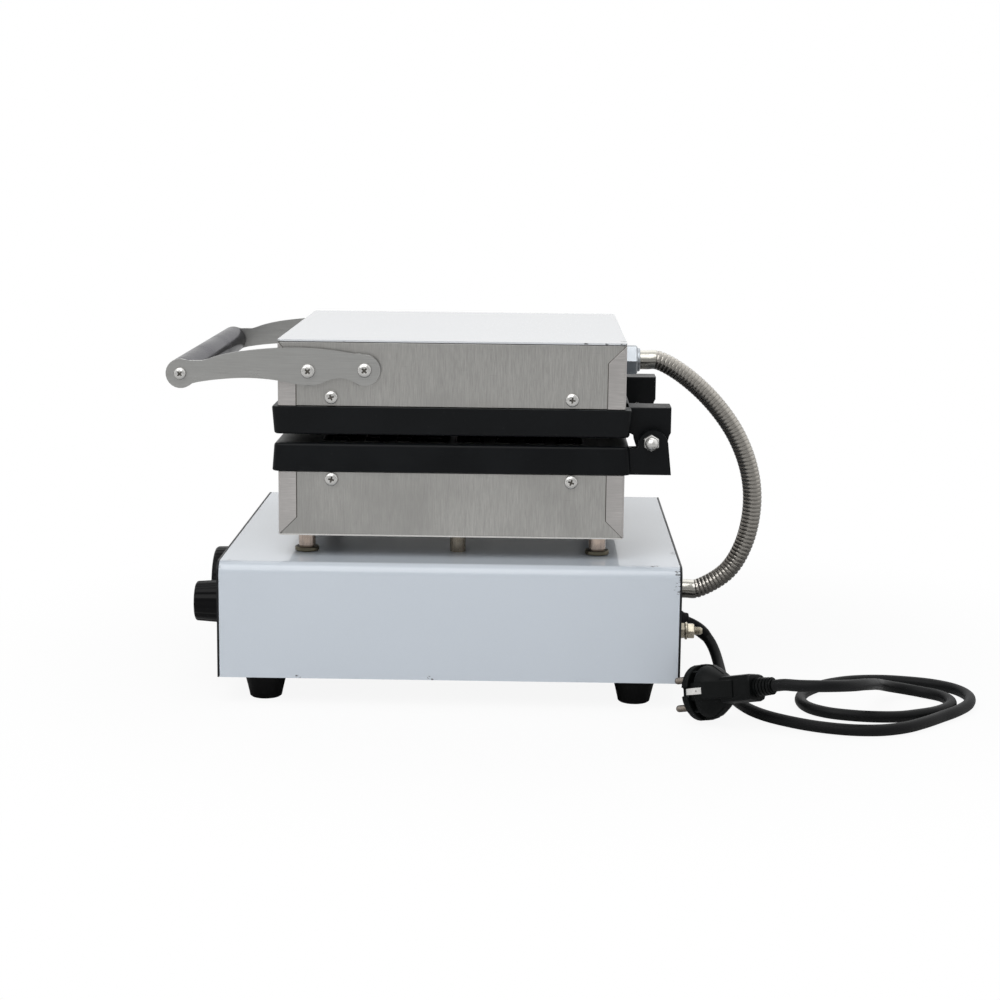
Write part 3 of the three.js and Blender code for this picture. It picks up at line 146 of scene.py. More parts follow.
def smooth_path(points, spacing):
    """A centripetal spline through points, cut into even steps of about the given length."""
    fine = []
    for i in range(len(points) - 1):
        start, stop = points[i], points[i + 1]
        before = points[i - 1] if i else 2 * start - stop
        after = points[i + 2] if i + 2 < len(points) else 2 * stop - start
        gaps = [(b - a).length ** 0.5 for a, b in ((before, start), (start, stop), (stop, after))]
        leave = (start - before) / gaps[0] - (stop - before) / (gaps[0] + gaps[1])
        leave = (leave + (stop - start) / gaps[1]) * gaps[1]
        arrive = (stop - start) / gaps[1] - (after - start) / (gaps[1] + gaps[2])
        arrive = (arrive + (after - stop) / gaps[2]) * gaps[1]
        for step in range(16):
            t = step / 16
            bend = (3 * (stop - start) - 2 * leave - arrive) * t**2
            fine.append(start + leave * t + bend + (2 * (start - stop) + leave + arrive) * t**3)
    fine.append(points[-1])
    travelled = [0.0]
    for a, b in zip(fine, fine[1:]):
        travelled.append(travelled[-1] + (b - a).length)
    count = max(2, round(travelled[-1] / spacing))
    path, k = [], 0
    for step in range(count + 1):
        goal = travelled[-1] * step / count
        while k < len(fine) - 2 and travelled[k + 1] < goal:
            k += 1
        share = (goal - travelled[k]) / max(1e-9, travelled[k + 1] - travelled[k])
        path.append(fine[k].lerp(fine[k + 1], min(1, share)))
    return path, travelled[-1]


plug_end = PLUG_FACE + PLUG_AWAY * (PLUG_LENGTH + 0.3)
lead_points = [LEAD_EXIT, LEAD_EXIT + Vector((0, LEAD_RADIUS, 0)), *places(LEAD_FALL)]
lead_points += places(LEAD_ON_TABLE, REST) + places(LEAD_CLIMB)
lead_points += [plug_end + PLUG_AWAY * step * LEAD_RADIUS for step in (2, 1, 0)]
lead_path, lead_length = smooth_path(lead_points, 3)
print("lead:", round(lead_length, 1), "mm in", len(lead_path), "points")

# %% [markdown]
# ## Shader maths that reads as maths
# A finish is a tree of nodes, but most of it is arithmetic on masks and patterns. A small class
# wraps an output socket, so that `1 - mask * 0.3` adds the Math nodes by itself. Colours go
# through Mix nodes instead, because a Math node would turn them grey. One method makes any other
# node: its settings first, then the values or links of its sockets.


# %% The shader class
class Value:
    """An output socket. Arithmetic on it adds Math nodes."""

    def __init__(self, finish, socket):
        self.finish, self.socket = finish, socket

    def math(self, operation, *terms):
        return self.finish.node("Math", {"operation": operation}, dict(enumerate(terms)))

    def __add__(self, other):
        return self.math("ADD", self, other)

    def __mul__(self, other):
        return self.math("MULTIPLY", self, other)

    def __sub__(self, other):
        return self.math("SUBTRACT", self, other)

    def __rsub__(self, other):
        return self.math("SUBTRACT", other, self)

    __radd__, __rmul__ = __add__, __mul__


def colour(red, green, blue):
    """A colour as a picture shows it, 0 to 255, turned into the light that a shader needs."""
    shares = [v / 255 for v in (red, green, blue)]
    return [v / 12.92 if v <= 0.04045 else ((v + 0.055) / 1.055) ** 2.4 for v in shares] + [1]


def scaled(tone, factor):
    """A colour made lighter or darker, never lighter than white."""
    return [min(1, v * factor) for v in tone[:3]] + [1]


class Finish:
    """A material with its Principled shader, built by short calls."""

    def __init__(self, name, **constants):
        self.material = bpy.data.materials.new(name)
        self.material.use_nodes = True
        self.tree = self.material.node_tree
        self.shader = self.tree.nodes["Principled BSDF"]
        for key, value in constants.items():
            self.set(key.replace("_", " "), value)

    @staticmethod
    def find(sockets, key):
        """A socket that is in use, by its place or its name."""
        usable = [s for s in sockets if s.enabled]
        return usable[key] if isinstance(key, int) else next(s for s in usable if s.name == key)

    def feed(self, socket, value):
        if isinstance(value, Value):
            self.tree.links.new(value.socket, socket)
        else:
            socket.default_value = value

    def node(self, kind, settings=None, inputs=None, output=0):
        made = self.tree.nodes.new("ShaderNode" + kind)
        for key, value in (settings or {}).items():
            setattr(made, key, value)
        for key, value in (inputs or {}).items():
            self.feed(self.find(made.inputs, key), value)
        return Value(self, self.find(made.outputs, output))

    def set(self, name, value):
        self.feed(self.shader.inputs[name], value)

    def coordinates(self, size=(1, 1, 1), move=(0, 0, 0)):
        """Object coordinates in which one unit is `size` millimetres along each axis."""
        spot = self.node("TexCoord", output="Object")
        scale = [1 / (MM * v) for v in size]
        return self.node("Mapping", {}, {"Vector": spot, "Scale": scale, "Location": move})

    def noise(self, size, detail, rough=0.5, move=(0, 0, 0)):
        """Noise with grains of `size` millimetres, one number or one for each axis."""
        spot = self.coordinates(size if isinstance(size, tuple) else (size,) * 3, move)
        inputs = {"Vector": spot, "Scale": 1, "Detail": detail, "Roughness": rough}
        return self.node("TexNoise", {}, inputs)

    def cells(self, size):
        """The distance from the middles of cells that are `size` millimetres wide."""
        inputs = {"Vector": self.coordinates((size,) * 3), "Scale": 1}
        return self.node("TexVoronoi", {}, inputs, "Distance")

    def band(self, value, low, high, to_low=0.0, to_high=1.0):
        """A soft step from one number to another while the value goes from low to high."""
        numbers = {"Value": value, "From Min": low, "From Max": high}
        numbers |= {"To Min": to_low, "To Max": to_high}
        return self.node("MapRange", {"interpolation_type": "SMOOTHSTEP"}, numbers)

    def mix(self, factor, first, second):
        return self.node("Mix", {"data_type": "RGBA"}, {"Factor": factor, "A": first, "B": second})

    def relief(self, height, depth):
        """Bump of the given depth in millimetres."""
        inputs = {"Height": height, "Distance": depth * MM, "Strength": 1.0}
        return self.node("Bump", {}, inputs)


print("shader class ready")

# %% [markdown]
# ## Finishes
# The base and the lid's cover are stove enamel: pale, glossy, with a faint orange peel, small
# specks of dust and a few chips where an edge was knocked. Noise alone would look like a stain,
# so the chips are a threshold of a noise, kept near each knock by its distance in the frame.


# %% Enamel
def enamel(name, tone, knocks, seed):
    """Pale stove enamel with chips round a few knocked places, each given with its reach."""
    finish = Finish(name, Coat_Weight=0.5, Coat_Roughness=0.05)
    cloud = finish.noise(90, 1.0, move=(seed, 0, 0))
    speck = finish.noise(0.9, 2.0, move=(seed, 3, 0))
    near = 0.0
    for x, y, z, reach in knocks:
        ends = {0: finish.coordinates(), 1: (x, y + BACKSET, z)}
        away = finish.node("VectorMath", {"operation": "DISTANCE"}, ends, "Value")
        near = finish.band(away, reach, reach * 0.3) + near
    torn = finish.noise((1.6, 3.4, 1.3), 4.0, 0.62, move=(seed, 7, 0)) * near
    chip = finish.band(torn, 0.5, 0.54)
    dust = finish.band(finish.noise(1.6, 2.0, move=(seed, 3, 4)), 0.75, 0.8)
    shade = finish.mix(cloud * 0.5 + speck * 0.5, scaled(tone, 0.94), tone)
    shade = finish.mix(dust * 0.12, shade, colour(120, 118, 112))
    shade = finish.mix(chip * 0.85, shade, colour(58, 58, 58))
    finish.set("Base Color", shade)
    finish.set("Roughness", speck * 0.1 + 0.2 + chip * 0.4)
    peel = finish.noise(2.6, 1.0)
    finish.set("Normal", finish.relief(peel - chip * 5, 0.016))
    return finish.material


KNOCKS_ON_BASE = [
    (150, -12.6, 19.2, 6), (150, -104, 19.2, 5), (147.5, 158.5, 96.5, 8),
    (150, 158.5, 86, 9), (147.5, -158.5, 96.5, 3.6), (150, -158.5, 88, 3),
    (140, -151, 100, 4), (142, 141, 100, 7), (96, 158.5, 100, 9),
    (-150, 44, 19.2, 6), (-147.5, -158.5, 96.5, 4.5), (-60, -158.5, 100, 4),
]
KNOCKS_ON_LID = [
    (125, -74, 251, 3), (125, 92, 251, 3.2), (125, 106, 251, 2.6), (125, 119, 251, 8),
    (112, 120, 251.4, 9), (125, -119, 251, 2.6), (-125, 30, 251, 3.4), (-88, -120, 251, 3.4),
]
base_enamel = enamel("base_enamel", colour(204, 212, 221), KNOCKS_ON_BASE, 2)
lid_enamel = enamel("lid_enamel", colour(210, 213, 217), KNOCKS_ON_LID, 5)
print("enamels made")

# %% [markdown]
# Sheet steel is brushed: thousands of fine scratches run one way. Noise squeezed to less than a
# third of a millimetre across and stretched to a centimetre or two along gives them, and a slow
# noise gives the cloudy look of a sheet that was wiped with a cloth. The same function makes
# every steel here, with its own grain, tone and gloss; turned and plated metal has an even grain.
# `under` paints shade on what faces down, darker towards the bottom, and `fall` says how far
# round a bar that painted shade fades.


# %% Steel
def steel(name, tone, rough, grain, cloud, streak=0.22, depth=0.006, metal=0.92, wear=0.0,
          edge=1.0, under=0.0, fall=0.7):
    """Brushed steel: `grain` is a scratch's size along each axis, `cloud` a wiped patch's."""
    finish = Finish(name, Metallic=metal, Specular_Tint=(edge, edge, edge, 1))
    fine = finish.noise(grain, 3.0, 0.7)
    broad = finish.noise(tuple(v * 4 for v in grain), 2.0, move=(4, 1, 8))
    slow = finish.noise(cloud, 3.0, 0.6)
    lines = fine * 0.88 + broad * 0.12
    dark, light = scaled(tone, 1 - streak), scaled(tone, 1 + streak)
    shade = finish.mix(finish.band(lines, 0.32, 0.68), dark, light)
    shade = finish.mix(finish.band(slow, 0.36, 0.68) * 0.6, shade, dark)
    scar = finish.band(finish.noise((18, 18, 0.8), 2.0, move=(1, 2, 3)), 0.7, 0.74) * wear
    shade = finish.mix(scar, shade, scaled(tone, 0.5))
    # Painted shade: the colour darkens on faces that point down.
    if under:
        normal = finish.node("NewGeometry", output="Normal")
        facing = finish.node("SeparateXYZ", {}, {0: normal}, "Z")
        shade = finish.mix(finish.band(facing, fall, -fall) * under, shade, scaled(tone, 0.12))
    finish.set("Base Color", shade)
    finish.set("Roughness", finish.band(slow + lines * 0.4, 0.4, 1.0, rough - 0.06, rough + 0.1))
    finish.set("Normal", finish.relief(lines, depth))
    return finish.material


UPRIGHT, FOLDED, LEVEL = (0.24, 0.24, 9), (0.24, 12, 0.24), (0.3, 20, 0.3)
ACROSS, EVEN, TURNED = (24, 0.3, 0.3), (0.5, 0.5, 0.5), (0.5, 0.5, 8)
# The grip, bright, nut, hose, pin and ferrule steels get `under`: painted shade on their lower
# faces.
shell_steel = steel("shell_steel", colour(168, 167, 164), 0.34, UPRIGHT, cloud=75,
                    streak=0.2, depth=0.004, wear=0.2)
# The flaps' steel is a lighter tone than the tray's: a painted sheen for their grain, which runs
# across.
flap_steel = steel("flap_steel", colour(182, 179, 177), 0.32, FOLDED, cloud=40,
                   streak=0.16, depth=0.004)
arm_steel = steel("arm_steel", colour(166, 166, 164), 0.3, LEVEL, cloud=40,
                  streak=0.1, depth=0.004)
grip_steel = steel("grip_steel", colour(126, 125, 131), 0.2, ACROSS, cloud=50,
                   streak=0.07, depth=0.002, edge=0.45, under=0.7)
inner_steel = steel("inner_steel", colour(150, 150, 148), 0.42, ACROSS, cloud=40)
bright_steel = steel("bright_steel", colour(232, 231, 228), 0.2, EVEN, cloud=9,
                     streak=0.08, depth=0.002, metal=0.75, under=0.6)
nut_steel = steel("nut_steel", colour(176, 181, 186), 0.3, EVEN, cloud=30,
                  streak=0.06, depth=0.002, edge=0.8, under=0.5)
flange_steel = steel("flange_steel", colour(118, 112, 96), 0.3, EVEN, cloud=7,
                     streak=0.2, edge=0.6)
recess_steel = steel("recess_steel", colour(96, 93, 88), 0.5, EVEN, cloud=5, streak=0.2)
hose_steel = steel("hose_steel", colour(184, 180, 173), 0.22, EVEN, cloud=60,
                   streak=0.03, depth=0.0002, edge=0.8, under=0.9, fall=0.45)
pin_metal = steel("pin_metal", colour(158, 148, 138), 0.24, (0.5, 0.5, 4), cloud=6,
                  streak=0.12, edge=0.5, under=0.7)
ferrule_steel = steel("ferrule_steel", colour(198, 196, 188), 0.16, EVEN, cloud=60,
                      streak=0.03, depth=0.0005, under=0.85)
zinc = steel("yellow_zinc", colour(182, 175, 158), 0.24, (0.6, 0.6, 0.6), cloud=5, streak=0.18)
standoff_metal = steel("standoff_metal", colour(184, 168, 156), 0.2, TURNED, cloud=7, streak=0.2)
sleeve_steel = steel("sleeve_steel", colour(132, 124, 112), 0.24, TURNED, cloud=7, streak=0.25)
heater_steel = steel("heater_steel", colour(120, 112, 104), 0.45, (1, 1, 1), cloud=12,
                     streak=0.25)
print("steels made")

# %% [markdown]
# The plates are cast iron under a black satin coat. A casting is never quite smooth, so a noise
# of grain size raises its skin, slow patches are a little lighter, and small dusty spots lie over
# both. Moulded plastic and rubber use the same idea with a finer skin, and the same function
# makes them.


# %% Castings, plastic and rubber
def skin(name, tone, rough, grain, depth, fade=0.12, gloss=0.25):
    """A matt or satin skin: a fine grain, slow patches of another tone, and dusty spots."""
    finish = Finish(name, Specular_IOR_Level=gloss)
    fine = finish.noise(grain, 3.0, 0.6)
    slow = finish.noise(34, 3.0)
    lift = [min(1, v * 1.3 + fade * 0.03) for v in tone[:3]] + [1]
    shade = finish.mix(finish.band(slow, 0.35, 0.7), tone, lift)
    spots = finish.band(finish.noise(grain * 2.2, 1.0, move=(9, 4, 2)), 0.68, 0.8)
    finish.set("Base Color", finish.mix(spots * fade, shade, colour(120, 118, 114)))
    finish.set("Roughness", finish.band(slow, 0.3, 0.7, rough - 0.05, rough + 0.07))
    finish.set("Normal", finish.relief(fine, depth))
    return finish.material


seasoned = skin("seasoned_casting", colour(6, 6, 7), 0.6, 1.1, 0.02, fade=0.01, gloss=0.04)
casting = skin("black_casting", colour(11, 13, 15), 0.36, 1.1, 0.03, fade=0.02, gloss=0.12)
panel_black = skin("black_panel", colour(24, 25, 27), 0.42, 0.7, 0.02, fade=0.04, gloss=0.2)
plastic = skin("black_plastic", colour(9, 9, 11), 0.32, 0.5, 0.008, fade=0.015, gloss=0.1)
plug_plastic = skin("plug_plastic", colour(8, 10, 10), 0.42, 0.6, 0.01, fade=0.015, gloss=0.1)
lead_sheath = skin("lead_sheath", colour(13, 14, 15), 0.52, 1.4, 0.004, fade=0.02, gloss=0.16)
rubber = skin("foot_rubber", colour(8, 8, 9), 0.5, 0.9, 0.03, fade=0.03, gloss=0.08)
ceramic = skin("ceramic", colour(226, 221, 209), 0.4, 0.8, 0.03)
mark_paint = skin("mark_paint", colour(228, 228, 224), 0.5, 0.6, 0.01)
print("skins made")

# %% [markdown]
# Mineral wool is a mat of fibres and the lamp's lens is coloured plastic that lets light
# through. Both are hidden or small, but each still gets the pattern of the real stuff: stretched
# noise for fibres, and a fine prism pattern for the lens.


# %% Wool and lens
def mineral_wool():
    """A pale mat of fibres that lie both ways."""
    finish = Finish("mineral_wool", Roughness=0.95)
    along, across = (finish.noise(way, 4.0, 0.7) for way in ((0.7, 9, 0.7), (9, 0.7, 0.7)))
    fibres = along * 0.5 + across * 0.5
    tone = finish.mix(finish.band(fibres, 0.35, 0.65), colour(186, 172, 132), colour(226, 214, 178))
    finish.set("Base Color", tone)
    finish.set("Normal", finish.relief(fibres, 0.5))
    return finish.material


def lamp_lens():
    """Amber plastic with small prisms."""
    finish = Finish("lamp_lens", Transmission_Weight=0.5, IOR=1.49)
    prisms = finish.cells(1.1)
    finish.set("Base Color", finish.mix(prisms, colour(240, 170, 60), colour(196, 96, 20)))
    finish.set("Roughness", finish.band(prisms, 0.1, 0.7, 0.12, 0.26))
    finish.set("Normal", finish.relief(prisms, 0.12))
    return finish.material


wool, lens_amber = mineral_wool(), lamp_lens()
print("wool and lens made")

# %% [markdown]
# ## Making shapes
# Nearly every piece of sheet, bar or casting can be drawn as loops of points that are joined one
# after the other: two equal loops are a slab, shrinking loops are a dome, and loops along a line
# are a tube. One builder does this in millimetres, rounds the edges that a tool would leave
# round, and hands over a finished piece that rides on its body.


# %% The shape builder
def place_on(axis, a, b, c):
    """A point from its two places in an outline and its height along an axis."""
    return {"X": (c, a, b), "Y": (a, c, b), "Z": (a, b, c)}[axis]


def soften(data, sharp=36):
    """Shade a mesh smooth, but keep every edge sharp that bends by more than some degrees."""
    data.shade_smooth()
    data.set_sharp_from_angle(angle=math.radians(sharp))


class Shape:
    """A mesh in the making, in millimetres; `turn` moves it, `coat` picks its next finish."""

    def __init__(self, turn=None):
        self.mesh, self.turn, self.coat = bmesh.new(), turn, 0

    def loops(self, rows):
        """Join loops of equally many points, cap both ends, and give back the caps."""
        move = self.turn or Matrix.Identity(4)
        rows = [[self.mesh.verts.new(move @ Vector(p)) for p in row] for row in rows]
        walls = []
        for low, high in zip(rows, rows[1:]):
            for i in range(len(low)):
                j = (i + 1) % len(low)
                walls.append(self.mesh.faces.new((low[i], low[j], high[j], high[i])))
        ends = [self.mesh.faces.new(row) for row in (rows[0], rows[-1])]
        for face in walls + ends:
            face.material_index = self.coat
        return ends

    def round_rims(self, ends, edge, segments):
        """Round off the rims of some end faces."""
        rims = list({e for face in ends for e in face.edges})
        settings = {"offset": edge, "offset_type": "OFFSET", "segments": segments, "profile": 0.5}
        bmesh.ops.bevel(self.mesh, geom=rims, affect="EDGES", clamp_overlap=True, **settings)

    def prism(self, axis, low, high, outline, edge=0.0, segments=3):
        """A slab with the given outline, its two faces rounded off by `edge`."""
        ends = self.loops([[place_on(axis, a, b, c) for a, b in outline] for c in (low, high)])
        if edge:
            self.round_rims(ends, edge, segments)

    def lathe(self, axis, centre, profile, sides, start=0.0):
        """Rings from (radius, height) pairs about an axis through a centre."""
        x, y, z = centre
        a, b, c = {"X": (y, z, x), "Y": (x, z, y), "Z": (x, y, z)}[axis]
        angles = [start + math.tau * k / sides for k in range(sides)]
        turned = [
            [place_on(axis, a + r * math.cos(t), b + r * math.sin(t), c + h) for t in angles]
            for r, h in profile
        ]
        self.loops(turned)

    def tube(self, path, radii, sides):
        """A round bar along a path; the radii are one number, or one for each point."""
        count = len(path)
        radii = radii if isinstance(radii, list) else [radii] * count
        steps = [path[min(i + 1, count - 1)] - path[max(i - 1, 0)] for i in range(count)]
        ways = [step.normalized() for step in steps]
        side, rows = ways[0].orthogonal().normalized(), []
        angles = [math.tau * k / sides for k in range(sides)]
        for spot, way, radius in zip(path, ways, radii):
            side = (side - way * side.dot(way)).normalized()
            other = way.cross(side)
            turned = [side * math.cos(t) + other * math.sin(t) for t in angles]
            rows.append([spot + spoke * radius for spoke in turned])
        self.loops(rows)

    def mesh_data(self, name, matrix=None):
        """The finished mesh, moved by a matrix if there is one."""
        bmesh.ops.remove_doubles(self.mesh, verts=self.mesh.verts, dist=0.0005)
        bmesh.ops.recalc_face_normals(self.mesh, faces=self.mesh.faces)
        if matrix:
            bmesh.ops.transform(self.mesh, matrix=matrix, verts=self.mesh.verts)
        data = bpy.data.meshes.new(name)
        self.mesh.to_mesh(data)
        self.mesh.free()
        soften(data)
        return data

    def done(self, name, body, slot, finishes, *nodes):
        """Turn the loops into a piece of the scene that stands for some nodes of the frame."""
        return piece_of(self.mesh_data(name, TO_FRAME), name, body, slot, finishes, *nodes)


def piece_of(data, name, body, slot, finishes, *nodes):
    """Put a mesh into the scene, on its body, in place of the nodes it stands for; its slot is not
    used.
    """
    piece = bpy.data.objects.new(name, data)
    bpy.context.scene.collection.objects.link(piece)
    if not data.materials:
        for finish in finishes if isinstance(finishes, list) else [finishes]:
            data.materials.append(finish)
    flat = piece.modifiers.new("flat_faces_stay_flat", "WEIGHTED_NORMAL")
    flat.keep_sharp = True
    if body:
        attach(piece, body)
    if nodes:
        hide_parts(*nodes)
    print(name, len(data.polygons), "faces")
    return piece


def arc(centre, radius, start, stop, steps):
    """Points of an arc in an outline, its angles in degrees."""
    angles = [math.radians(start + (stop - start) * k / steps) for k in range(steps + 1)]
    return [(centre[0] + radius * math.cos(t), centre[1] + radius * math.sin(t)) for t in angles]


def rectangle(half_width, half_depth, corner, steps=4):
    """An outline about the middle with round corners."""
    w, d = half_width - corner, half_depth - corner
    middles = ((w, d, 0), (-w, d, 90), (-w, -d, 180), (w, -d, 270))
    return [p for x, y, t in middles for p in arc((x, y), corner, t, t + 90, steps)]


def level(outline, height):
    """An outline laid flat at a height."""
    return [(x, y, height) for x, y in outline]


print("shape builder ready")

# %% [markdown]
# ## Setting out what repeats
# Screws, feet and pegs are each modelled once and set out by Geometry Nodes: one instance on
# each point, turned by the point's own attribute, with a random turn about its axis for the
# screws, because no fitter leaves all their crosses in line. The instances are made real, because
# an export drops instances, and the result is taken over as one plain mesh for each body.


# %% The setting-out tree
def add_node(tree, kind, settings=None, links=None):
    """One node with its settings and the links or values of its inputs, by name or place."""
    made = tree.nodes.new(kind)
    for key, value in (settings or {}).items():
        setattr(made, key, value)
    for key, value in (links or {}).items():
        usable = [s for s in made.inputs if s.enabled]
        socket = usable[key] if isinstance(key, int) else next(s for s in usable if s.name == key)
        if isinstance(value, bpy.types.NodeSocket):
            tree.links.new(value, socket)
        else:
            socket.default_value = value
    return made


def new_tree(name, inputs):
    """An empty tree with a geometry input, some named ones, and a geometry output."""
    tree = bpy.data.node_groups.new(name, "GeometryNodeTree")
    tree.interface.new_socket("Geometry", in_out="INPUT", socket_type="NodeSocketGeometry")
    for label, kind in inputs.items():
        tree.interface.new_socket(label, in_out="INPUT", socket_type="NodeSocket" + kind)
    tree.interface.new_socket("Geometry", in_out="OUTPUT", socket_type="NodeSocketGeometry")
    return tree, add_node(tree, "NodeGroupInput").outputs


def placed_copies(tree, points, pattern, rotation, scale):
    """One copy of the pattern on each point, turned and scaled."""
    source = add_node(tree, "GeometryNodeObjectInfo", {}, {"Object": pattern})
    size = add_node(tree, "ShaderNodeCombineXYZ", {}, {axis: scale for axis in "XYZ"})
    placed = {"Points": points, "Instance": source.outputs["Geometry"]}
    placed |= {"Rotation": rotation, "Scale": size.outputs[0]}
    return add_node(tree, "GeometryNodeInstanceOnPoints", {}, placed).outputs[0]


def finish_tree(tree, geometry, finish):
    """Make the copies real, give them their finish, and hand them out."""
    real = add_node(tree, "GeometryNodeRealizeInstances", {}, {"Geometry": geometry})
    coat = {0: real.outputs[0], "Material": finish}
    coated = add_node(tree, "GeometryNodeSetMaterial", {}, coat)
    add_node(tree, "NodeGroupOutput", {}, {0: coated.outputs[0]})


def setting_out_tree():
    """Copies of a pattern, each turned by its point's attribute and spun at random."""
    labels = {"Pattern": "Object", "Size": "Float", "Spin": "Float", "Seed": "Int"}
    tree, given = new_tree("set_out", labels | {"Finish": "Material"})
    vector = {"data_type": "FLOAT_VECTOR"}
    turn = add_node(tree, "GeometryNodeInputNamedAttribute", vector, {"Name": "turn"})
    aimed = add_node(tree, "FunctionNodeEulerToRotation", {}, {0: turn.outputs[0]})
    chance = {"Min": 0.0, "Max": given["Spin"], "Seed": given["Seed"]}
    random = add_node(tree, "FunctionNodeRandomValue", {"data_type": "FLOAT"}, chance)
    angle = next(s for s in random.outputs if s.enabled)
    about = {"Axis": (0, 0, 1), "Angle": angle}
    spin = add_node(tree, "FunctionNodeAxisAngleToRotation", {}, about)
    both = {0: aimed.outputs[0], 1: spin.outputs[0]}
    turned = add_node(tree, "FunctionNodeRotateRotation", {"rotation_space": "LOCAL"}, both)
    ways = turned.outputs[0]
    copies = placed_copies(tree, given["Geometry"], given["Pattern"], ways, given["Size"])
    finish_tree(tree, copies, given["Finish"])
    return tree


def run_tree(tree, holder, values):
    """Run a tree on an object and give back what it makes as a plain mesh."""
    modifier = holder.modifiers.new("nodes", "NODES")
    modifier.node_group = tree
    for item in tree.interface.items_tree:
        if item.in_out == "INPUT" and item.name in values:
            modifier[item.identifier] = values[item.name]
    holder.update_tag()
    bpy.context.view_layer.update()
    graph = bpy.context.evaluated_depsgraph_get()
    made = bpy.data.meshes.new_from_object(holder.evaluated_get(graph), depsgraph=graph)
    holder.modifiers.clear()
    return made


def scratch(data):
    """A passing object that a tree can work on or copy."""
    helper = bpy.data.objects.new(data.name, data)
    bpy.context.scene.collection.objects.link(helper)
    return helper


SET_OUT = setting_out_tree()


def set_out(name, body, slot, finish, pattern, spots, *nodes, spin=0.0, seed=1):
    """Copies of a pattern, drawn about its own Z in millimetres, on (place, direction) spots."""
    points = bpy.data.meshes.new(name + "_points")
    points.from_pydata([at(*place) for place, _ in spots], [], [])
    turns = points.attributes.new("turn", "FLOAT_VECTOR", "POINT")
    for item, (_, way) in zip(turns.data, spots):
        item.vector = Vector(way).to_track_quat("Z", "Y").to_euler()
    holder, model = scratch(points), scratch(pattern.mesh_data(name + "_pattern"))
    values = {"Pattern": model, "Size": MM, "Spin": spin, "Seed": seed, "Finish": finish}
    made = run_tree(SET_OUT, holder, values)
    made.name = name
    soften(made)
    for helper in (holder, model):
        bpy.data.objects.remove(helper)
    return piece_of(made, name, body, slot, finish, *nodes)


print("setting-out tree:", len(SET_OUT.nodes), "nodes")

# %% [markdown]
# ## The plug and the lead
# The plug is one moulding: a thick disc that carries the pins, a waist with a raised bar along
# each side between sunk fields, a block for the neck and a ribbed tail for the lead. Its earth
# strips are bright metal in notches of the disc. It is drawn lying along its own axis and then
# turned into the place where it rests.

# %% Plug
PLUG_TO_PLACE = (
    Matrix.Translation(PLUG_FACE)
    @ Matrix.Rotation(-PLUG_TURN, 4, "Z")
    @ Matrix.Rotation(PLUG_TILT, 4, "X")
    @ Matrix.Rotation(PLUG_ROLL, 4, "Y")
)
NOTCH_HALF, NOTCH_BOTTOM = 3, 15.5


def disc_outline(radius, notch):
    """A disc with a notch at each side; the notch bottom is at the given distance."""
    edge = math.degrees(math.asin(NOTCH_HALF / radius))
    right = [(notch, -NOTCH_HALF), (notch, NOTCH_HALF)]
    left = [(-notch, NOTCH_HALF), (-notch, -NOTCH_HALF)]
    over = arc((0, 0), radius, edge, 180 - edge, 14)
    under = arc((0, 0), radius, 180 + edge, 360 - edge, 14)
    return right + over + left + under


def squircle(width, height, y, power, sides=32):
    """A loop between an ellipse, at power 2, and a rectangle, at high powers."""
    ring = []
    for k in range(sides):
        c, s = math.cos(math.tau * k / sides), math.sin(math.tau * k / sides)
        reach = (abs(c / width) ** power + abs(s / height) ** power) ** (-1 / power)
        ring.append((c * reach, y, s * reach))
    return ring


plug_body = Shape(PLUG_TO_PLACE)
plug_body.prism("Y", 0, 5, disc_outline(PLUG_RADIUS - 0.05, NOTCH_BOTTOM), edge=0.7)
waist = [(13.6, 13.6, 4.6), (14.4, 15, 6.6), (16.2, 17.6, 8.6), (16.4, 18, 10.6)]
waist += [(16, 17.3, 15), (13.8, 13.8, 20), (10.8, 10.9, 24.2), (8.6, 8.6, 26)]
plug_body.loops([squircle(w, h, y, 2.2) for w, h, y in waist])
for side in (-1, 1):
    bar = [(9, 4.6), (15.4, 4.6), (15.4, 15.6), (17, 15.8), (16, 22)]
    bar += [(12.2, 34), (10.2, 36.4), (6, 36.4)]
    plug_body.prism("Z", -6, 6, [(side * x, y) for x, y in bar], edge=0.9)
    web = [(9, 4.6), (18.9, 4.6), (18.9, 9.4), (17.8, 15), (11.6, 24), (6, 26)]
    plug_body.prism("X", -2.6, 2.6, [(y, side * z) for z, y in web], edge=0.6)
    rib_web = [(9, 4.6), (17.8, 4.6), (17.8, 10), (9, 13)]
    for slope in (0.7, -0.7):
        plug_body.turn = PLUG_TO_PLACE @ Matrix.Rotation(slope, 4, "Y")
        plug_body.prism("X", -0.8, 0.8, [(y, side * z) for z, y in rib_web], edge=0.4)
    plug_body.turn = PLUG_TO_PLACE
neck = [(8.2, 8, 24), (9.2, 8.9, 24.8), (9.5, 9.1, 26), (9.5, 9.1, 47.4)]
neck += [(8.5, 8.3, 49.6), (6.8, 6.8, 50)]
plug_body.loops([squircle(w, h, y, 6.0) for w, h, y in neck])
tail = [(6, 49.5)]
for k in range(5):
    start, radius = 50 + k * 2.6, 6.5 - 0.16 * k
    tail += [(radius, start), (radius, start + 1.7)]
    tail += [(radius - 0.8, start + 2), (radius - 0.8, start + 2.5)]
tail[-2:] = [(5.5, 61), (4.9, PLUG_LENGTH - 0.2), (4.2, PLUG_LENGTH)]
plug_body.lathe("Y", (0, 0, 0), tail, 28)
plug = plug_body.done("plug_moulding", "base", "black", plug_plastic, "plug")

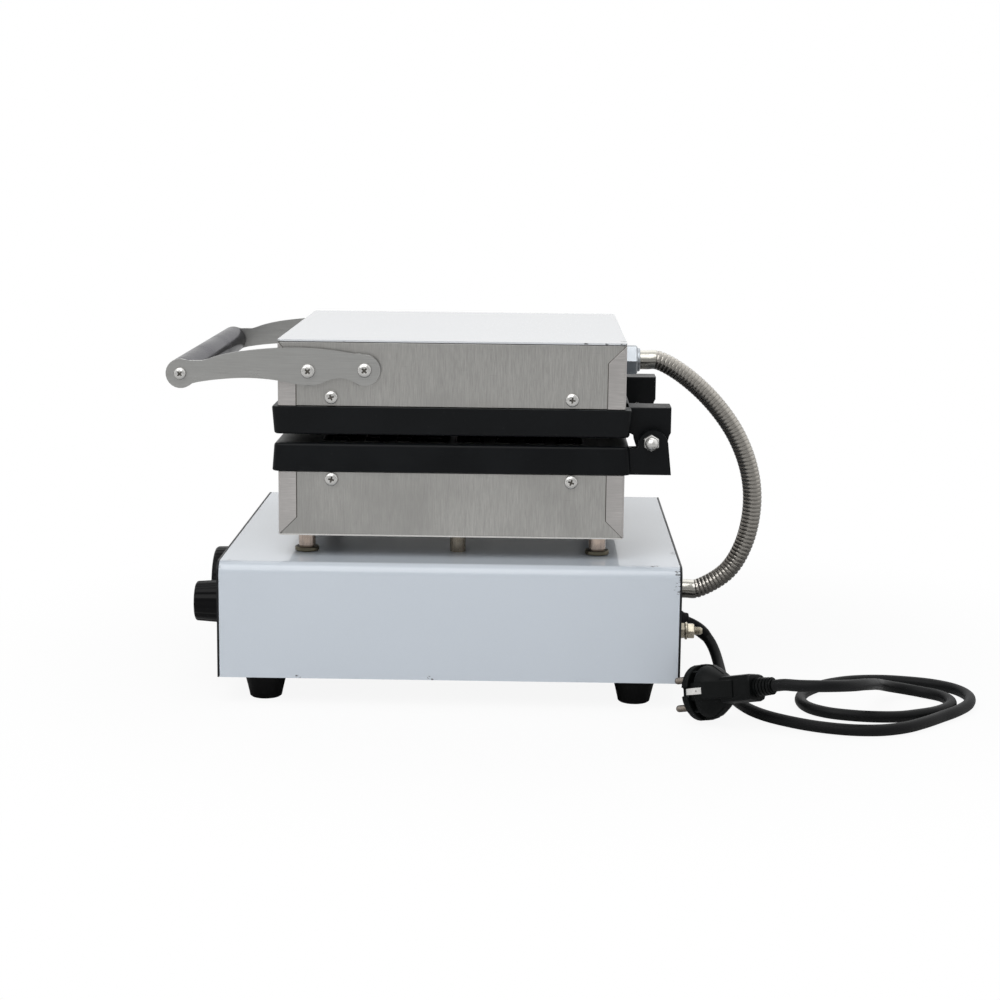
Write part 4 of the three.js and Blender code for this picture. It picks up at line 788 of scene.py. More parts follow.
plug_pins, plug_metal = Shape(PLUG_TO_PLACE), Shape(PLUG_TO_PLACE)
for side in (-1, 1):
    profile = [(1.5, -19), (2.1, -18.4), (2.4, -17.4), (2.4, 0.4)]
    plug_pins.lathe("Y", (0, 0, side * 9.5), profile, 20)
    strip = [(15.3, 2), (16.3, 2.4), (16.6, 4.4), (16.2, 14.8), (15.7, 15.3), (15.2, 14.6)]
    plug_metal.prism("Z", -2.3, 2.3, [(side * x, y) for x, y in strip], edge=0.25)
pins = plug_pins.done("plug_pins", "base", "bright", pin_metal)
plug_contacts = plug_metal.done("plug_contacts", "base", "bright", bright_steel)

# %% [markdown]
# The lead is a round tube along its path. The gland's boot is a tapered sleeve: it keeps the
# lead from being bent sharply where it leaves the housing.

# %% Lead, gland and boot
GLAND, BACK_FACE = (40, 0, 36.5), 160.3
lead_shape = Shape()
lead_shape.tube(lead_path, LEAD_RADIUS - 0.02, 20)
lead = lead_shape.done("mains_lead_tube", "base", "black", lead_sheath, "mains_lead")
lead_length * MM

gland = Shape()
hexagon = [(11.6, BACK_FACE), (12.6, 161), (12.6, 165.2), (11.7, 165.9)]
gland.lathe("Y", GLAND, hexagon, 6, math.radians(10))
dome = [(9.4, 165.7), (9.4, 168.2), (9, 169), (8.2, 169.9), (7.6, 172.9), (7, 173.2)]
gland.lathe("Y", GLAND, [*dome, (4.1, 173.2), (4.1, 166.4)], 32)
boot_path = lead_path[1:9]
gland.tube(boot_path, [5.8 - 0.2 * k for k in range(len(boot_path) - 1)] + [4.1], 24)
gland.done("gland_and_boot", "base", "black", plastic, "mains_gland")

# %% [markdown]
# ## The base
# The cover of the base is one sheet, folded over two long bends, so its outline is drawn once
# and pushed along the machine's depth. The hard edge of a plain box would give no light line
# along the bend, and that line is what makes a folded sheet look like one.

# %% Base cover
COVER_HALF, COVER_END, COVER_TOP, COVER_BOTTOM = 150, 158.5, 100, 19
BEND, SHEET = 8, 1.2


def folded_sheet():
    """The cover's outline: out over both bends, and back on the inside of the sheet."""
    middle, height, inside = COVER_HALF - BEND, COVER_TOP - BEND, BEND - SHEET
    outer = [(COVER_HALF, COVER_BOTTOM), *arc((middle, height), BEND, 0, 90, 8)]
    outer += [*arc((-middle, height), BEND, 90, 180, 8), (-COVER_HALF, COVER_BOTTOM)]
    inner = [(-COVER_HALF + SHEET, COVER_BOTTOM), *arc((-middle, height), inside, 180, 90, 8)]
    inner += [*arc((middle, height), inside, 90, 0, 8), (COVER_HALF - SHEET, COVER_BOTTOM)]
    return outer + inner


cover = Shape()
cover.prism("Y", -COVER_END, COVER_END, folded_sheet(), edge=0.3)
cover.done("folded_base_cover", "base", "paint", base_enamel, "base_cover")

# %% [markdown]
# Feet, standoffs and screws are turned parts, so each is a profile spun about an axis. A pan
# head screw gets a real cross recess: its top ends in the outline of a cross, and two smaller
# crosses are sunk below it. A second, dull piece fills the ground of each recess with grime and
# painted shade.

# %% Feet and standoffs
FOOT_X, FOOT_Y, STAND_X, STAND_Y = 125, 129.5, 102, 102.5
CORNERS = {"front_right": (1, -1), "rear_right": (1, 1)}
CORNERS |= {"front_left": (-1, -1), "rear_left": (-1, 1)}


def at_corners(x, y, z, way):
    """Four places that face up (1) or down (-1), in the order of the corners' names."""
    return [((side * x, end * y, z), (0, 0, way)) for side, end in CORNERS.values()]


def corner_names(prefix):
    return [f"{prefix}_{corner}" for corner in CORNERS]


foot = Shape()
foot_profile = [(6.6, 9), (6.6, 0.6), (7.2, 0), (10.2, 0), (11.2, 0.8), (11.5, 2.4), (13, 9)]
foot_profile += [(14.4, 14.6), (15.1, 16.6), (15.5, 17.4), (15.5, 18.3), (15.1, 18.7), (6, 18.7)]
foot.lathe("Z", (0, 0, 0), foot_profile, 40)
foot_spots = at_corners(FOOT_X, FOOT_Y, 0, 1)
set_out("rubber_feet", "base", "rubber", rubber, foot, foot_spots, *corner_names("foot"))

standoff = Shape()
profile = [(5.4, 0), (5.4, 3.6), (6, 4), (6, 13.4), (5.6, 14.4), (3, 14.4)]
standoff.lathe("Z", (0, 0, 0), profile, 36)
stand_spots = at_corners(STAND_X, STAND_Y, 100.3, 1)
names = corner_names("standoff")
set_out("standoffs", "base", "zinc", standoff_metal, standoff, stand_spots, *names)
flange = Shape()
flange.lathe("Z", (0, 0, 0), [(8, 0), (8.5, 0.5), (8.5, 2.6), (8.1, 3), (5, 3)], 36)
set_out("standoff_flanges", "base", "zinc", flange_steel, flange, stand_spots)

sleeve = Shape()
sleeve.lathe("Z", (97, 4, 93.8), [(5, 0), (5.6, 0.5), (5.6, 20.6), (5, 21)], 32)
sleeve.done("wiring_bush", "base", "steel", sleeve_steel, "wiring_sleeve")

# %% Screws
SCREW_HEIGHT, SCREW_ANGLES = 3, [math.tau * k / 24 for k in range(24)]


def cross_loop(size, height):
    """The outline of a cross recess, with as many points as the head has."""
    half, loop = 0.3 * size, []
    for t in SCREW_ANGLES:
        fold = abs((t + math.pi / 4) % (math.pi / 2) - math.pi / 4)
        reach = size / math.cos(fold) if fold < 0.28 else half / math.sin(fold)
        loop.append((reach * math.cos(t), reach * math.sin(t), height))
    return loop


def pan_head(radius, height=SCREW_HEIGHT):
    """A domed head whose top sinks into a cross."""
    screw, rows = Shape(), []
    for share, rise in ((0.97, 0), (1, 0.08), (1, 0.42), (0.95, 0.66), (0.82, 0.84), (0.6, 0.96)):
        r = radius * share
        rows.append([(r * math.cos(t), r * math.sin(t), height * rise) for t in SCREW_ANGLES])
    for share, rise in ((0.46, 1), (0.41, 0.8), (0.34, 0.42)):
        rows.append(cross_loop(radius * share, height * rise))
    screw.loops(rows)
    return screw


def recess_grime_and_shade(radius, height=SCREW_HEIGHT):
    """The grime and painted shade that fill the ground of a cross recess."""
    fill = Shape()
    fill.loops([cross_loop(radius * 0.4, height * rise) for rise in (0.5, 0.6)])
    return fill


SIDES = (("right", 1), ("left", -1))


def side_screws(name, body, radius, seat, spots, *nodes, seed):
    """A screw on each side for each spot, with its grime and painted shade turned by the same
    chance.
    """
    ways = [((way * seat, y, z), (way, 0, 0)) for y, z in spots for _, way in SIDES]
    chance = {"spin": 1.5, "seed": seed}
    set_out(name, body, "bright", bright_steel, pan_head(radius), ways, *nodes, **chance)
    # A dark fill in each recess: grime and painted shade.
    set_out(name + "_grime", body, "bright", recess_steel, recess_grime_and_shade(radius), ways, **chance)


def four(prefix):
    return [f"{prefix}_{end}_{side}" for end in ("front", "rear") for side, _ in SIDES]


ON_SHELL, ON_ARM, LUG_Y = 124.5, 128.6, 83
ARM_REAR, ARM_FRONT, GRIP = (-59.7, 231.1), (-98.6, 230.1), (-186.4, 227.4)
for name, body, z, seed in (("lower_shell", "base", 154.8, 3), ("upper_shell", "lid", 211.9, 8)):
    spots, nodes = [(-LUG_Y, z), (LUG_Y, z)], four(name + "_screw")
    side_screws(name + "_screws", body, 4.7, ON_SHELL, spots, *nodes, seed=seed)
nodes = four("arm_screw")
side_screws("arm_screws", "lid", 4.9, ON_ARM, [ARM_REAR, ARM_FRONT], *nodes, seed=5)
nodes = ["grip_screw_right", "grip_screw_left"]
side_screws("grip_screws", "lid", 4.2, ON_ARM, [GRIP], *nodes, seed=9)
spots, nodes = at_corners(FOOT_X, FOOT_Y, 8.7, -1), corner_names("foot_screw")
head = pan_head(4.8)
set_out("foot_screws", "base", "bright", bright_steel, head, spots, *nodes, spin=1.5, seed=4)

# %% [markdown]
# ## The two heads
# Each cast plate sits in a brushed steel tray. A second sheet wraps the tray's front and rear
# and is folded a finger's width onto the sides, cut at 45 degrees where it meets the closed end.
# The tray is a stack of rounded rectangles, which gives the soft bend round the closed end, and
# the wrap is an outline pushed up or down whose last loops are slanted by the mitre.

# %% Shells
TRAY_X, TRAY_Y, SHELL_SHEET, SHELL_BEND, FLAP = 124.2, 119.2, 1, 0.8, 107.6
LOWER_SHELL, UPPER_SHELL = (159.8, 115), (205.9, 250)


def tray(name, body, node, mouth, floor):
    """An open box with a soft bend round its closed end, from its mouth's to its floor's height."""
    way = 1 if floor > mouth else -1
    rows = []
    for k in range(6):
        t = math.radians(90 * k / 5)
        inset, height = SHELL_BEND * (1 - math.sin(t)), floor - way * SHELL_BEND * (1 - math.cos(t))
        rows.append(level(rectangle(TRAY_X - inset, TRAY_Y - inset, 1.8 - inset * 0.5), height))
    rows.append(level(rectangle(TRAY_X, TRAY_Y, 1.8), mouth + way * 0.2))
    rows.append(level(rectangle(TRAY_X - 0.2, TRAY_Y - 0.2, 1.6), mouth))
    inner_x, inner_y = TRAY_X - SHELL_SHEET, TRAY_Y - SHELL_SHEET
    rows.append(level(rectangle(inner_x, inner_y, 0.9), mouth))
    rows.append(level(rectangle(inner_x, inner_y, 0.9), floor - way * SHELL_SHEET))
    shape = Shape()
    shape.loops(rows)
    shape.done(name, body, "steel", shell_steel, node)


def wrap(name, body, mouth, floor):
    """The sheet round the tray's front and rear, with a flap on each side cut at 45 degrees."""
    way = 1 if floor > mouth else -1
    out_x, out_y, in_x, in_y = TRAY_X + 0.78, TRAY_Y + 0.8, TRAY_X - 1.4, TRAY_Y - 1.4

    def mitred(ring, gap):
        return [(x, y, floor - way * (gap + max(0, out_y - abs(y)))) for x, y in ring]

    shape = Shape()
    for end in (-1, 1):
        outer = [(-out_x, FLAP), *arc((1.8 - out_x, out_y - 1.8), 1.8, 180, 90, 5)]
        outer += [*arc((out_x - 1.8, out_y - 1.8), 1.8, 90, 0, 5), (out_x, FLAP)]
        inner = [(TRAY_X + 0.02, FLAP), *arc((in_x, in_y), 1.42, 0, 90, 5)]
        inner += [*arc((-in_x, in_y), 1.42, 90, 180, 5), (-TRAY_X - 0.02, FLAP)]
        ring = [(x, end * y) for x, y in outer + inner]
        rows = [level(ring, mouth), level(ring, mouth + way * 20)]
        shape.round_rims(shape.loops([*rows, mitred(ring, 0.5), mitred(ring, 0.3)]), 0.12, 1)
    shape.done(name, body, "steel", flap_steel)


def seam_grime_and_shadow(name, body, mouth, floor):
    """The dark line of grime and painted shadow where each flap meets the tray, straight and then
    along the mitre.
    """
    way = 1 if floor > mouth else -1
    shape = Shape()
    # The strip is dark steel laid on the tray: painted shadow along the flap's edge, with grime.
    corner = floor - way * (TRAY_Y + 1.3 - FLAP)
    for side in (-1, 1):
        low, high = sorted((side * (TRAY_X - 0.1), side * (TRAY_X + 0.12)))
        for end in (-1, 1):
            line = [(FLAP + 0.2, mouth + way * 0.3), (FLAP + 0.2, corner)]
            line += [(TRAY_Y, floor - way * 1.4), (TRAY_Y, floor - way * 0.6)]
            line += [(FLAP - 0.6, corner + way * 0.2), (FLAP - 0.6, mouth + way * 0.3)]
            shape.prism("X", low, high, [(end * y, z) for y, z in line])
    shape.done(name, body, "steel", recess_steel)


tray("lower_tray", "base", "lower_shell", *LOWER_SHELL)
wrap("lower_wrap", "base", *LOWER_SHELL)
seam_grime_and_shadow("lower_seams", "base", *LOWER_SHELL)
hem = Shape()
for side in (-1, 1):
    low, high = sorted((side * (TRAY_X - 0.4), side * (TRAY_X + 0.8)))
    outline = [(low, 115.1), (high, 115.1), (high, 116.1), (low, 116.1)]
    hem.prism("Y", -TRAY_Y, TRAY_Y, outline, edge=0.3)
# The hem gets the lighter bright steel, not the tray's: a painted highlight along the lower shell's
# bottom edge.
hem.done("lower_hem", "base", "steel", bright_steel)
tray("upper_tray", "lid", "upper_shell", *UPPER_SHELL)
wrap("upper_wrap", "lid", *UPPER_SHELL)
seam_grime_and_shadow("upper_seams", "lid", *UPPER_SHELL)
top = Shape()
top.prism("Z", 250.3, 251.5, rectangle(125, 120, 3, 6), edge=0.45)
top.done("enamelled_top", "lid", "paint", lid_enamel, "top_cover")

# %% [markdown]
# The plates are castings: every edge is rounded, the walls have a little draft so that they
# leave the sand, and the pan is sunk into the face with a bar each way across the middle. The
# square pegs that press the pattern into the batter are one peg set out by Geometry Nodes. The
# ears of the lower plate and the brackets of the upper one are slabs with a rounded outline,
# because the hinge rod runs through them.

# %% Plates
PLATE_X, PLATE_Y, DRAFT, PAN_X, PAN_Y, PAN_DEEP = 125.2, 123, 1.2, 109, 91, 8
LOWER_FACE, LOWER_BACK, UPPER_FACE, UPPER_BACK = 179.7, 160.1, 186, 205.6
HINGE_Y, HINGE_Z, BRACKET_STEP = 138, 182.85, 187.85


def cast_plate(shape, face, back):
    """A drafted slab with a sunk pan in its face; it grows a little wider towards its back."""
    way = 1 if face > back else -1
    rows = []
    for rise, inset in ((0, 1.2), (0.4, 0.35), (1.2, 0)):
        outline = rectangle(PLATE_X + DRAFT - inset, PLATE_Y + DRAFT - inset, 4, 5)
        rows.append(level(outline, back + way * rise))
    for k in range(5):
        t = math.radians(90 * k / 4)
        inset, height = 2 * (1 - math.cos(t)), face - way * 2 * (1 - math.sin(t))
        rows.append(level(rectangle(PLATE_X - inset, PLATE_Y - inset, 4 - inset, 5), height))
    pan = ((0, -0.9), (0.25, -0.25), (1, 0), (PAN_DEEP - 1.4, 0.5))
    for depth, inset in (*pan, (PAN_DEEP - 0.3, 1.2), (PAN_DEEP, 2.4)):
        rows.append(level(rectangle(PAN_X - inset, PAN_Y - inset, 5, 5), face - way * depth))
    shape.loops(rows)
    bar_top, bar_foot = face - way, face - way * PAN_DEEP - way * 0.3
    slope = [(-3.1, bar_foot), (-2.3, bar_top), (2.3, bar_top), (3.1, bar_foot)]
    for axis, reach in (("X", PAN_X - 0.6), ("Y", PAN_Y - 0.6)):
        shape.prism(axis, -reach, reach, slope, edge=0.5)


def lugs(shape, low, high):
    """Four blocks at the plate's sides that take the shell's screws."""
    for x in (-1, 1):
        for y in (-1, 1):
            outline = [(x * (116.5 + a), y * LUG_Y + b) for a, b in rectangle(6, 8, 1.5, 3)]
            shape.prism("Z", low, high, outline, edge=0.6)


ear_line = [(119, LOWER_BACK), (152.2, LOWER_BACK), *arc((139.5, 180.35), 10.5, 0, 180, 20)]
ear_line += [(129, 180.1), *arc((127.4, 180.1), 1.6, 0, -90, 4), (119, 178.5)]
bracket_line = [(119, UPPER_BACK), (119, BRACKET_STEP), (127.2, BRACKET_STEP)]
bracket_line += arc((HINGE_Y, HINGE_Z), 10.8, 180, 360, 20)
bracket_line += [(152.3, BRACKET_STEP), (152.3, UPPER_BACK)]

lower = Shape()
cast_plate(lower, LOWER_FACE, LOWER_BACK)
lugs(lower, 148.8, 160.4)
upper = Shape()
cast_plate(upper, UPPER_FACE, UPPER_BACK)
lugs(upper, 205.3, 217.9)
for side in (-1, 1):
    low, high = sorted((side * 110.2, side * 121.2))
    lower.prism("X", low, high, ear_line, edge=1.3)
    low, high = sorted((side * 83.6, side * 109.6))
    upper.prism("X", low, high, bracket_line, edge=1.4)
lower.done("lower_cast_plate", "base", "casting", casting, "lower_plate")
upper.done("upper_cast_plate", "lid", "casting", casting, "upper_plate")

BAR_HALF, PEG_STEP_X, PEG_STEP_Y = 2.5, 21.3, 22.125
across = [BAR_HALF + PEG_STEP_X * (i + 0.5) for i in range(5)]
along = [BAR_HALF + PEG_STEP_Y * (j + 0.5) for j in range(4)]
peg_places = [(x * a, y * b) for x in (-1, 1) for y in (-1, 1) for a in across for b in along]
for name, body, ground, way in (("lower_pegs", "base", 171.6, 1), ("upper_pegs", "lid", 194.1, -1)):
    peg = Shape()
    sizes = ((7.4, -0.3), (7.03, 0), (4.95, 5.5), (4.6, 6), (4.1, 6.2))
    peg.loops([level(rectangle(half, half, 0.9, 2), height) for half, height in sizes])
    spots = [((x, y, ground), (0, 0, way)) for x, y in peg_places]
    set_out(name, body, "casting", seasoned, peg, spots)

# %% [markdown]
# The hinge rod ends in two acorn nuts: a hexagon with a dome on it, made as two turned shapes,
# one of them with six sides.

# %% Rod and acorn nuts
rod = Shape()
rod.lathe("X", (-127, HINGE_Y, HINGE_Z), [(2.6, 0), (3, 0.4), (3, 253.6), (2.6, 254)], 24)
rod.done("hinge_bar", "base", "bright", bright_steel, "hinge_rod")
acorn = Shape()
acorn.lathe("Z", (0, 0, 0), [(5.1, 0), (5.8, 0.7), (5.8, 4.3), (5.2, 5)], 6, math.radians(30))
dome = [(4.6, 4.8), (4.6, 6.6), (4.4, 8), (3.8, 9.6), (2.8, 10.7), (1.5, 11.3), (0.4, 11.5)]
acorn.lathe("Z", (0, 0, 0), dome, 28)
spots = [((way * 121.5, HINGE_Y, HINGE_Z), (way, 0, 0)) for _, way in SIDES]
names = [f"hinge_nut_{side}" for side, _ in SIDES]
set_out("acorn_nuts", "base", "bright", bright_steel, acorn, spots, *names)

# %% [markdown]
# ## Handle
# The arms are flat bars cut to a swan neck and screwed to the shell, and the grip is a polished
# round bar between them. The arm's outline is a smooth line through a few measured points with
# an arc round each end, and the same spline that lays the lead draws it.

# %% Arms and grip
ARM_LENGTH, ARM_EYE, GRIP_RADIUS = 126.7, 11, 10.2
ARM_TOP = [(0.02, 0.085), (0.12, 0.1005), (0.25, 0.1155), (0.38, 0.1195), (0.53, 0.1115)]
ARM_TOP += [(0.71, 0.089), (0.81, 0.0655), (0.88, 0.0395), (0.957, 0.0385)]
ARM_UNDER = [(0.937, -0.0797), (0.81, -0.0603), (0.65, -0.0491), (0.5, -0.0573), (0.4, -0.0745)]
ARM_UNDER += [(0.31, -0.0886), (0.255, -0.0805), (0.19, -0.0535), (0.123, -0.0413)]
ARM_UNDER += [(0.07, -0.0545), (0.033, -0.0803)]


def arm_points(shares):
    """Points given in shares of the arm's length from its rear screw."""
    y, z = ARM_REAR
    return [Vector((y - a * ARM_LENGTH, z + b * ARM_LENGTH, 0)) for a, b in shares]


def bearing(middle, spot):
    """The way from a middle to a spot, in degrees."""
    return math.degrees(math.atan2(spot.y - middle[1], spot.x - middle[0]))


def arm_outline():
    """Round the rear end, along the top, round the grip's end and back below."""
    over, under = arm_points(ARM_TOP), arm_points(ARM_UNDER)
    outline = arc(ARM_REAR, ARM_EYE, bearing(ARM_REAR, under[-1]), bearing(ARM_REAR, over[0]), 14)
    first = [Vector((*outline[-1], 0)), *over[1:-1]]
    outline += [(p.x, p.y) for p in smooth_path(first, 4)[0][1:]]
    outline += arc(GRIP, GRIP_RADIUS, bearing(GRIP, over[-1]), bearing(GRIP, under[0]) + 360, 18)
    second = [Vector((*outline[-1], 0)), *under[1:-1], Vector((*outline[0], 0))]
    return outline + [(p.x, p.y) for p in smooth_path(second, 4)[0][1:-1]]


arms = Shape()
for side in (-1, 1):
    low, high = sorted((side * 125.3, side * 128.3))
    arms.prism("X", low, high, arm_outline(), edge=0.35, segments=2)
arms.done("handle_arms", "lid", "steel", arm_steel, "handle_arm_right", "handle_arm_left")
grip = Shape()
profile = [(9.4, 0), (10, 0.3), (GRIP_RADIUS, 0.8), (GRIP_RADIUS, 249.2), (10, 249.7), (9.4, 250)]
grip.lathe("X", (-125, *GRIP), profile, 64)
grip.done("grip_bar", "lid", "steel", grip_steel, "handle_grip")

# %% [markdown]
# ## The ribbed hose
# Wires for the upper plate run through a ribbed metal hose. Its middle line is a smooth curve,
# and Geometry Nodes set one rib on each of its even steps, turned along the curve, round a
# thinner tube. The plain ferrules at its ends are tubes. The upper one turns with the lid, the
# lower one stays, and the ribbed part rides on neither.

# %% Hose
HOSE_X, HOSE_TOP, HOSE_FOOT, BOW_START, BOW_REACH, BOW_RISE = 20, 229.8, 58.6, 132.3, 87.3, 171.2
bow = [(0.34, 0.955), (0.61, 0.84), (0.835, 0.69), (0.965, 0.53), (1, 0.375), (0.94, 0.205)]
bow += [(0.8, 0.08)]
spots = [(y, HOSE_TOP) for y in (132.3, 139.3, 146.3)]
spots += [(BOW_START + BOW_REACH * back, HOSE_FOOT + BOW_RISE * up) for back, up in bow]
spots += [(y, HOSE_FOOT) for y in (179.6, 172.6, 165.6)]
hose_path, hose_length = smooth_path([Vector((HOSE_X, y, z)) for y, z in spots], 1)
FERRULE, RIBS, RIB_ROOT = 14, 76, 6.4
ribbed_line = hose_path[FERRULE - 2 : len(hose_path) - FERRULE + 2]


def ribbed_tree():
    """A rib on each even step of a line, along the line's way, round a thinner tube."""
    labels = {"Pattern": "Object", "Ribs": "Int", "Size": "Float", "Root": "Float"}
    tree, given = new_tree("ribbed_hose", labels | {"Finish": "Material"})
    line = add_node(tree, "GeometryNodeMeshToCurve", {}, {0: given["Geometry"]}).outputs[0]
    steps = {0: line, "Count": given["Ribs"]}
    even = add_node(tree, "GeometryNodeResampleCurve", {"mode": "COUNT"}, steps)
    ahead = {"Vector": add_node(tree, "GeometryNodeInputTangent").outputs[0]}
    aimed = add_node(tree, "FunctionNodeAlignRotationToVector", {"axis": "Z"}, ahead)
    points, ways = even.outputs[0], aimed.outputs[0]
    ribs = placed_copies(tree, points, given["Pattern"], ways, given["Size"])
    measures = {"Resolution": 24, "Radius": given["Root"]}
    circle = add_node(tree, "GeometryNodeCurvePrimitiveCircle", {}, measures)
    swept = {0: line, 1: circle.outputs[0], "Fill Caps": True}
    root = add_node(tree, "GeometryNodeCurveToMesh", {}, swept)
    both = add_node(tree, "GeometryNodeJoinGeometry")
    tree.links.new(ribs, both.inputs[0])
    tree.links.new(root.outputs[0], both.inputs[0])
    finish_tree(tree, both.outputs[0], given["Finish"])
    return tree


rib = Shape()
profile = [(RIB_ROOT, -1.4), (6.84, -1.22), (6.98, -0.55)]
profile += [(6.98, 0.55), (6.84, 1.22), (RIB_ROOT, 1.4)]
rib.lathe("Z", (0, 0, 0), profile, 24)
pattern = scratch(rib.mesh_data("rib_pattern"))
line = bpy.data.meshes.new("hose_line")
edges = [(i, i + 1) for i in range(len(ribbed_line) - 1)]
line.from_pydata([at(*p) for p in ribbed_line], edges, [])
holder = scratch(line)
values = {"Pattern": pattern, "Ribs": RIBS, "Size": MM, "Root": RIB_ROOT * MM}
values["Finish"] = hose_steel
hose_mesh = run_tree(ribbed_tree(), holder, values)
for helper in (holder, pattern):
    bpy.data.objects.remove(helper)
hose_mesh.name = "ribbed_hose"
soften(hose_mesh, 40)
hose = piece_of(hose_mesh, "ribbed_hose", None, "bright", hose_steel, "hose")
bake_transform(hose)
ferrules = [("upper_ferrule", "lid", hose_path[:FERRULE])]
ferrules += [("lower_ferrule", "base", hose_path[-FERRULE:])]
for name, body, part in ferrules:
    ferrule = Shape()
    ferrule.tube(part, 7, 32)
    ferrule.done(name, body, "bright", ferrule_steel)
print("hose:", round(hose_length, 1), "mm,", RIBS, "ribs")

# %% Hose nuts
upper_nut = Shape()
hexagon = [(10.6, 120.3), (11.6, 121.2), (11.6, 131), (10.6, 132)]
upper_nut.lathe("Y", (HOSE_X, 0, HOSE_TOP), hexagon, 6)
upper_nut.lathe("Y", (HOSE_X, 0, HOSE_TOP), [(8.6, 131.8), (8.6, 133.4), (8, 134)], 28)
upper_nut.done("upper_hose_nut", "lid", "bright", nut_steel, "hose_fitting_upper")
lower_nut = Shape()
hexagon = [(8.6, BACK_FACE), (9.4, 160.9), (9.4, 164.6), (8.6, 165.3)]
lower_nut.lathe("Y", (HOSE_X, 0, HOSE_FOOT), hexagon, 6, math.radians(-10))
lower_nut.done("lower_hose_nut", "base", "bright", nut_steel, "hose_fitting_lower")

# %% [markdown]
# ## Bonding stud
# The stud for the bonding wire is a threaded bar with two washers and two nuts. The thread is a
# stack of small ridges: a real helix would not show at this size.

# %% Bonding stud
STUD = (90, 0, 42.6)
stud = Shape()
thread = [(2.5, BACK_FACE)]
for k in range(17):
    thread += [(2.55, 161 + k), (3, 161.35 + k), (3, 161.6 + k), (2.55, 161.95 + k)]
stud.lathe("Y", STUD, [*thread, (2.5, 178.7), (2, 179.3)], 20)
seat = BACK_FACE
for turn in (20, 8):
    washer = [(6, seat), (6.3, seat + 0.3), (6.3, seat + 1.3), (6, seat + 1.6)]
    stud.lathe("Y", STUD, washer, 32)
    nut = [(5.2, seat + 1.6), (5.9, seat + 2.1), (5.9, seat + 6.1), (5.2, seat + 6.6)]
    stud.lathe("Y", STUD, nut, 6, math.radians(turn))
    seat += 6.6
stud.done("bonding_stud_and_nuts", "base", "zinc", zinc, "bonding_stud")

# %% [markdown]
# ## Knobs and lamps
# The dial and the timer knob are moulded in black plastic. The dial is a flat disc with a fine
# grip round its edge, the timer knob is taller and has deep flutes, and each carries a painted
# pointer line. They turn, so each rides on its own body, and every mark that stays still belongs
# to the panel.

# %% Knobs
DIAL_X, TIMER_X, KNOB_Z, KNOB_BACK = 30, 98, 61.3, -160.8


def fluted(radius, flutes, depth, x, y, steps):
    """A ring round a knob's axis with dips along it; each flute has some steps of points."""
    ring = []
    for k in range(flutes * steps):
        t = math.tau * k / (flutes * steps)
        dip = depth * max(0.0, math.cos(flutes * t)) ** 1.5
        reach = radius - dip
        ring.append((reach * math.cos(t) + x, y, reach * math.sin(t) + KNOB_Z))
    return ring


def upright_bar(middle, half, low, high):
    """A narrow bar above a knob's axis, from a low to a high place."""
    corners = ((-half, low), (half, low), (half, high), (-half, high))
    return [(middle + x, KNOB_Z + z) for x, z in corners]


dial = Shape()
profile = [(27.5, 0), (27.5, 1.6), (27.2, 2.2), (26.4, 2.4), (26.3, 3)]
profile += [(26, 15.4), (25.6, 16.6), (24.9, 17.4), (23.9, 17.8)]
depths = [0.35 if 3 <= h <= 16.6 else 0 for _, h in profile]
dial.loops([fluted(r, 36, d, DIAL_X, KNOB_BACK - h, 4) for (r, h), d in zip(profile, depths)])
dial.done("dial_knob", "dial", "black", plastic, "thermostat_dial")
pointer = Shape()
bar = upright_bar(DIAL_X, 1, 6, 19.5)
pointer.prism("Y", KNOB_BACK - 18.4, KNOB_BACK - 17.6, bar, edge=0.2)
pointer.done("dial_pointer", "dial", "black", mark_paint)

timer = Shape()
profile = [(15.6, 0), (15.6, 1), (15.4, 1.5)]
profile += [(14.1, 20.2), (13.7, 21), (12.8, 21.6), (11, 21.65), (10.4, 21.2)]
depths = [0.8 if 1.4 < h < 21.3 else 0 for _, h in profile]
timer.loops([fluted(r, 12, d, TIMER_X, KNOB_BACK - h, 8) for (r, h), d in zip(profile, depths)])
timer.done("timer_grip", "timer_dial", "black", plastic, "timer_knob")
timer_mark = Shape()
bar = upright_bar(TIMER_X, 0.7, 4, 11)
timer_mark.prism("Y", KNOB_BACK - 21.9, KNOB_BACK - 21.4, bar, edge=0.1)
timer_mark.done("timer_pointer", "timer_dial", "black", mark_paint)

# %% Ticks and lamps
TICK_FRONT, TICK_BACK, LONG_TICK, SHORT_TICK = -160.12, -159.98, (2.2, 0.45), (1.3, 0.28)
ticks = Shape()
for knob_x, radius, count, every in ((DIAL_X, 31.5, 21, 5), (TIMER_X, 20, 13, 1)):
    for k in range(count):
        t = math.radians(240 - 300 * k / (count - 1))
        c, s = math.cos(t), math.sin(t)
        x, z = knob_x + radius * c, KNOB_Z + radius * s
        reach, half = SHORT_TICK if k % every else LONG_TICK
        ends = ((-reach, -half), (reach, -half), (reach, half), (-reach, half))
        outline = [(x + (a * c - b * s), z + (a * s + b * c)) for a, b in ends]
        ticks.prism("Y", TICK_FRONT, TICK_BACK, outline)
ticks.done("panel_ticks", "base", "fascia", mark_paint)

LAMPS_X = (-55, -93)
lamps = Shape()
bezel = [(6, -160.3), (7.5, -160.5), (7.5, -161.5), (7, -161.9), (6.2, -161.9)]
cap = [(6, -160.4), (6, -163.4), (5.6, -164.6), (4.6, -165), (2, -165.2)]
for coat, profile in enumerate((bezel, cap)):
    lamps.coat = coat
    for x in LAMPS_X:
        lamps.lathe("Y", (x, 0, KNOB_Z), profile, 32)
coats, names = [bright_steel, lens_amber], ["heating_lamp", "power_lamp"]
lamps.done("signal_lamps", "base", "amber", coats, *names)

# %% [markdown]
# ## What keeps its shape
# The panels, the bottom plate and everything inside are right as the frame has them. They only
# get their finish.

